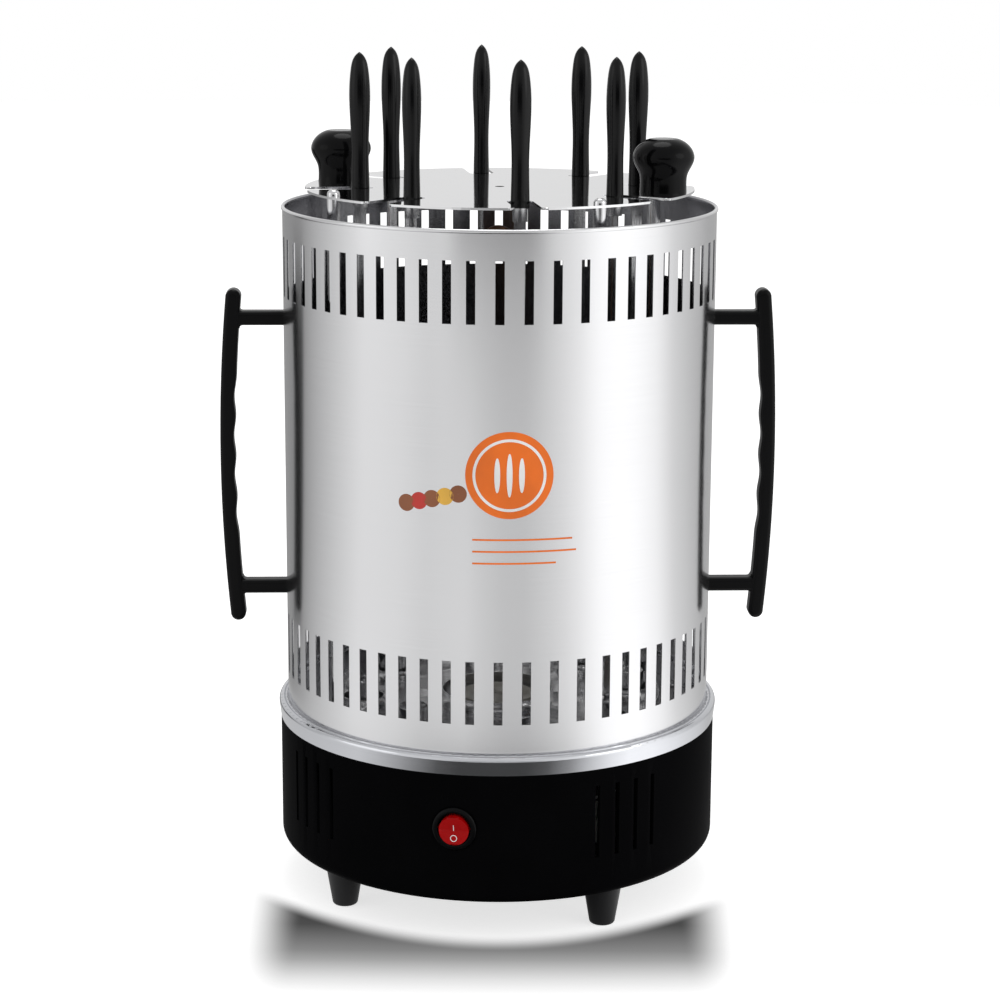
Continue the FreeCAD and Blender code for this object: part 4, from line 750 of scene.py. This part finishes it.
def make_camera(scene, sizes):
    """A pinhole camera given by its place, its pitch and its roll."""
    out = Vector((math.sin(sizes.turn), -math.cos(sizes.turn), 0))
    right = Vector((math.cos(sizes.turn), math.sin(sizes.turn), 0))
    ahead = -out*math.cos(sizes.pitch) - Vector((0, 0, math.sin(sizes.pitch)))
    up = right.cross(ahead)
    side = right*math.cos(sizes.roll) + up*math.sin(sizes.roll)
    top = up*math.cos(sizes.roll) - right*math.sin(sizes.roll)
    lens = bpy.data.cameras.new("camera")
    lens.lens, lens.sensor_width, lens.shift_x = sizes.lens, 36.0, sizes.shift
    camera = bpy.data.objects.new("camera", lens)
    turn = Matrix((side, top, -ahead)).transposed().to_4x4()
    place = out*sizes.distance + Vector((0, 0, sizes.height))
    camera.matrix_world = Matrix.Translation(place) @ turn
    scene.collection.objects.link(camera)
    scene.camera = camera


# Brightness of the studio as metal sees it, by the angle from the camera's side in degrees:
# the far floor, the floor close to the grill, and the walls above the floor.
FAR = ((-180, 0.34), (-135, 0.32), (-120, 0.42), (-107, 0.6), (-92, 0.78), (-74, 1.0),
       (-64, 1.0), (-50, 0.97), (-36, 0.88), (-26, 0.91), (-16, 0.94), (-6, 0.83), (3, 0.76),
       (13, 0.75), (22, 0.84), (32, 0.95), (42, 1.15), (53, 1.4), (64, 1.46), (75, 1.42),
       (88, 1.25), (102, 0.9), (118, 0.72), (140, 0.5), (180, 0.4))
NEAR = ((-180, 0.5), (-90, 0.75), (-75, 0.8), (-64, 0.85), (-54, 0.72), (-44, 0.52), (-34, 0.3),
        (-25, 0.12), (-16, 0.07), (12, 0.07), (21, 0.12), (31, 0.37), (40, 0.8), (50, 1.2),
        (60, 1.45), (75, 1.4), (100, 1.0), (130, 0.6), (180, 0.5))
WALLS = ((-180, 0.8), (-150, 0.75), (-120, 0.6), (-105, 0.6), (-90, 0.9), (-60, 1.0),
         (-30, 0.8), (0, 0.7), (30, 0.9), (60, 1.4), (90, 1.3), (120, 0.7), (150, 0.75), (180, 0.8))
PEAK = 1.5


def dark_gap(graph, start, middle, inner, outer):
    """1 in a dark gap of the studio at a direction in degrees, 0 past its soft edges."""
    place = graph.math("SUBTRACT", graph.heading(start), 0.5 + middle/360)
    return graph.step(graph.math("ABSOLUTE", place), inner/360, outer/360, 1.0, 0.0)


def inverse(graph, value, share):
    """1 less a share of a value."""
    return graph.math("SUBTRACT", 1.0, graph.math("MULTIPLY", value, share))


def make_floor(scene, sizes):
    """A wide pale floor. The camera sees it white with the grill's soft shade, partly real and partly a
    painted band of shade; metal sees the studio's light on it; other light meets plain paint."""
    turns = np.linspace(0, 2*math.pi, 96, endpoint=False)
    points = round_points([6.0], [0.0], turns)
    mesh = bpy.data.meshes.new("floor")
    mesh.from_pydata(points.tolist(), [], [list(range(len(turns)))])
    floor = bpy.data.objects.new("floor", mesh)
    scene.collection.objects.link(floor)
    finish = Finish("floor", tuple(scene.grill_colours.floor), 0.0, 0.9)
    finish.material.cycles.emission_sampling = "NONE"
    finish.tree.nodes.remove(finish.shader)
    speck = finish.noise(finish.scaled((40,)*3), 1.0, 3.0)
    pale = finish.ramp(speck, shades(tuple(scene.grill_colours.floor), 0.99, 1.01))
    plain = finish.add("ShaderNodeBsdfDiffuse", {"Color": pale}).outputs[0]
    away = finish.reach()
    tone = finish.mixed(finish.step(away, 0.37, 0.42), finish.walls(sizes.turn, NEAR, PEAK),
                        finish.walls(sizes.turn, FAR, PEAK))
    behind = finish.math("MULTIPLY", finish.step(away, 3.2, 3.8),
                         dark_gap(finish, sizes.turn, 0, 16, 30))
    beside = finish.math("MULTIPLY", dark_gap(finish, sizes.turn, -130, 5, 8), finish.math(
        "MULTIPLY", finish.step(away, 0.55, 0.7), finish.step(away, 2.4, 2.7, 1.0, 0.0)))
    dim = finish.math("MULTIPLY", inverse(finish, behind, 0.97), inverse(finish, beside, 0.94))
    light = finish.add("ShaderNodeEmission", {
        "Color": tone, "Strength": finish.math("MULTIPLY", dim, PEAK)}).outputs[0]
    path = finish.add("ShaderNodeLightPath").outputs
    other = finish.mixed(path["Is Glossy Ray"], plain, light)
    surface = finish.mixed(path["Is Camera Ray"], other, seen_floor(finish, sizes, pale))
    finish.tree.links.new(surface, finish.tree.nodes["Material Output"].inputs["Surface"])
    mesh.materials.append(finish.material)
    floor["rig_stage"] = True


def seen_floor(finish, sizes, pale):
    """The floor as the camera sees it: white, lit in part, under a soft band of painted shade before
    the base. The band starts at the parabola v = band_start - band_curve*u*u, where v is measured
    forwards from the grill's axis and u across, and it fades with v and with u."""
    across = finish.add("ShaderNodeVectorMath", {0: finish.place, 1: (
        math.cos(sizes.turn), math.sin(sizes.turn), 0.0)}, operation="DOT_PRODUCT").outputs["Value"]
    forward = finish.add("ShaderNodeVectorMath", {0: finish.place, 1: (
        math.sin(sizes.turn), -math.cos(sizes.turn), 0.0)}, operation="DOT_PRODUCT").outputs["Value"]
    bend = finish.math("MULTIPLY", finish.math("MULTIPLY", across, across), sizes.band_curve)
    past = finish.math("SUBTRACT", finish.math("ADD", forward, bend), sizes.band_start)
    side = finish.math("ABSOLUTE", finish.math("ADD", across, 0.003))
    # Mask of the painted band of shade: 1 past the parabola and within 0.1 m to either side, gone by
    # 0.134 m.
    inside = finish.math("MULTIPLY", finish.step(past, -0.012, 0.01),
                         finish.step(side, 0.1, 0.134, 1.0, 0.0))
    fade = finish.ramp(finish.span_of(forward, 0.06, 0.2), PAINTED_SHADE_BAND)
    white = finish.add("ShaderNodeRGB")
    white.outputs[0].default_value = (1, 1, 1, 1)
    shade = finish.mixed(inside, white.outputs[0], fade)
    lit = finish.add("ShaderNodeMix", {"Factor": 1.0}, data_type="RGBA", blend_type="MULTIPLY")
    finish.join(lit, "A", shade)
    finish.join(lit, "B", pale)
    gain = finish.add("ShaderNodeVectorMath", {0: finish.result(lit), "Scale": sizes.floor_gain},
                      operation="SCALE").outputs[0]
    glow = finish.add("ShaderNodeEmission", {"Color": shade, "Strength": sizes.floor_glow})
    paint = finish.add("ShaderNodeBsdfDiffuse", {"Color": gain})
    return finish.add("ShaderNodeAddShader", {0: glow.outputs[0], 1: paint.outputs[0]}).outputs[0]


# How much light the painted band of shade leaves, by the way forwards from 0.06 to 0.2 m.
PAINTED_SHADE_BAND = ((0.0, 0.05), (0.19, 0.07), (0.44, 0.22), (0.53, 0.33), (0.62, 0.5), (0.71, 0.67),
        (0.8, 0.81), (0.89, 0.95), (1.0, 1.0))


def make_lamps(scene, sizes):
    """Soft lamps: (name, turn from the camera, distance, height, width, watts)."""
    lamps = (("key", 64.0, 1.6, 0.9, 1.0, 2.5), ("fill", -70.0, 1.8, 0.8, 1.2, 1.5),
             ("top", 180.0, 0.35, 1.9, 1.0, 7.0))
    for name, turn, distance, height, width, watts in lamps:
        light = bpy.data.lights.new(name, "AREA")
        light.shape, light.size, light.energy = "DISK", width, watts
        lamp = bpy.data.objects.new(name, light)
        heading = sizes.turn + math.radians(turn)
        place = Vector((distance*math.sin(heading), -distance*math.cos(heading), height))
        aim = Vector((0, 0, 0.2)) - place
        lamp.matrix_world = Matrix.Translation(place) @ aim.to_track_quat("-Z", "Y").to_matrix().to_4x4()
        scene.collection.objects.link(lamp)


def make_studio(scene, sizes):
    """A white world for the camera, and for all other light a ring of soft walls round Z."""
    world = bpy.data.worlds.new("studio")
    world.use_nodes = True
    scene.world = world
    world.node_tree.nodes.clear()
    graph = Graph(world.node_tree, "Generated")
    walls = graph.walls(sizes.turn, WALLS, PEAK)
    up = graph.add("ShaderNodeSeparateXYZ", {"Vector": graph.place}).outputs[2]
    ceiling = graph.add("ShaderNodeRGB")
    ceiling.outputs[0].default_value = (0.5, 0.5, 0.5, 1.0)
    tone = graph.mixed(graph.step(up, 0.4, 0.85), walls, ceiling.outputs[0])
    dark = graph.math("MULTIPLY", graph.step(up, 0.06, 0.17, 1.0, 0.0),
                      dark_gap(graph, sizes.turn, 0, 16, 30))
    path = graph.add("ShaderNodeLightPath").outputs
    room = graph.add("ShaderNodeBackground", {
        "Color": tone, "Strength": graph.math("MULTIPLY", inverse(graph, dark, 0.97), PEAK)}).outputs[0]
    white = graph.add("ShaderNodeBackground", {"Color": (1, 1, 1), "Strength": 1.0}).outputs[0]
    shown = graph.mixed(path["Is Camera Ray"], room, white)
    output = graph.add("ShaderNodeOutputWorld", {"Surface": shown})
    output.is_active_output = True


STEPS = (GRILL_OT_finishes, GRILL_OT_shell, GRILL_OT_label, GRILL_OT_marks, GRILL_OT_copies,
         GRILL_OT_stage)


class GRILL_PT_panel(bpy.types.Panel):
    """The steps that dress the grill"""
    bl_idname = "GRILL_PT_panel"
    bl_label = "Upright skewer grill"
    bl_space_type = "VIEW_3D"
    bl_region_type = "UI"
    bl_category = "Grill"

    def draw(self, context):
        for step in STEPS:
            self.layout.operator(step.bl_idname)
        for name, group in GROUPS.items():
            box = self.layout.box()
            settings = getattr(context.scene, name)
            for field in group.__annotations__:
                box.prop(settings, field)


def register():
    """Register the settings, the steps and the panel."""
    for group in (*GROUPS.values(), *STEPS, GRILL_PT_panel):
        bpy.utils.register_class(group)
    for name, group in GROUPS.items():
        setattr(bpy.types.Scene, name, PointerProperty(type=group))


def unregister():
    """Remove what register added."""
    for name in GROUPS:
        delattr(bpy.types.Scene, name)
    for group in reversed((*GROUPS.values(), *STEPS, GRILL_PT_panel)):
        bpy.utils.unregister_class(group)


def corners():
    """The shown object's lowest and highest corner as plain lists."""
    return [list(corner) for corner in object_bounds()]


def main():
    """Run every step in order."""
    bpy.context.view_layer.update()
    register()
    for step in STEPS:
        group, name = step.bl_idname.split(".")
        getattr(getattr(bpy.ops, group), name)()


if __name__ == "__main__":
    main()
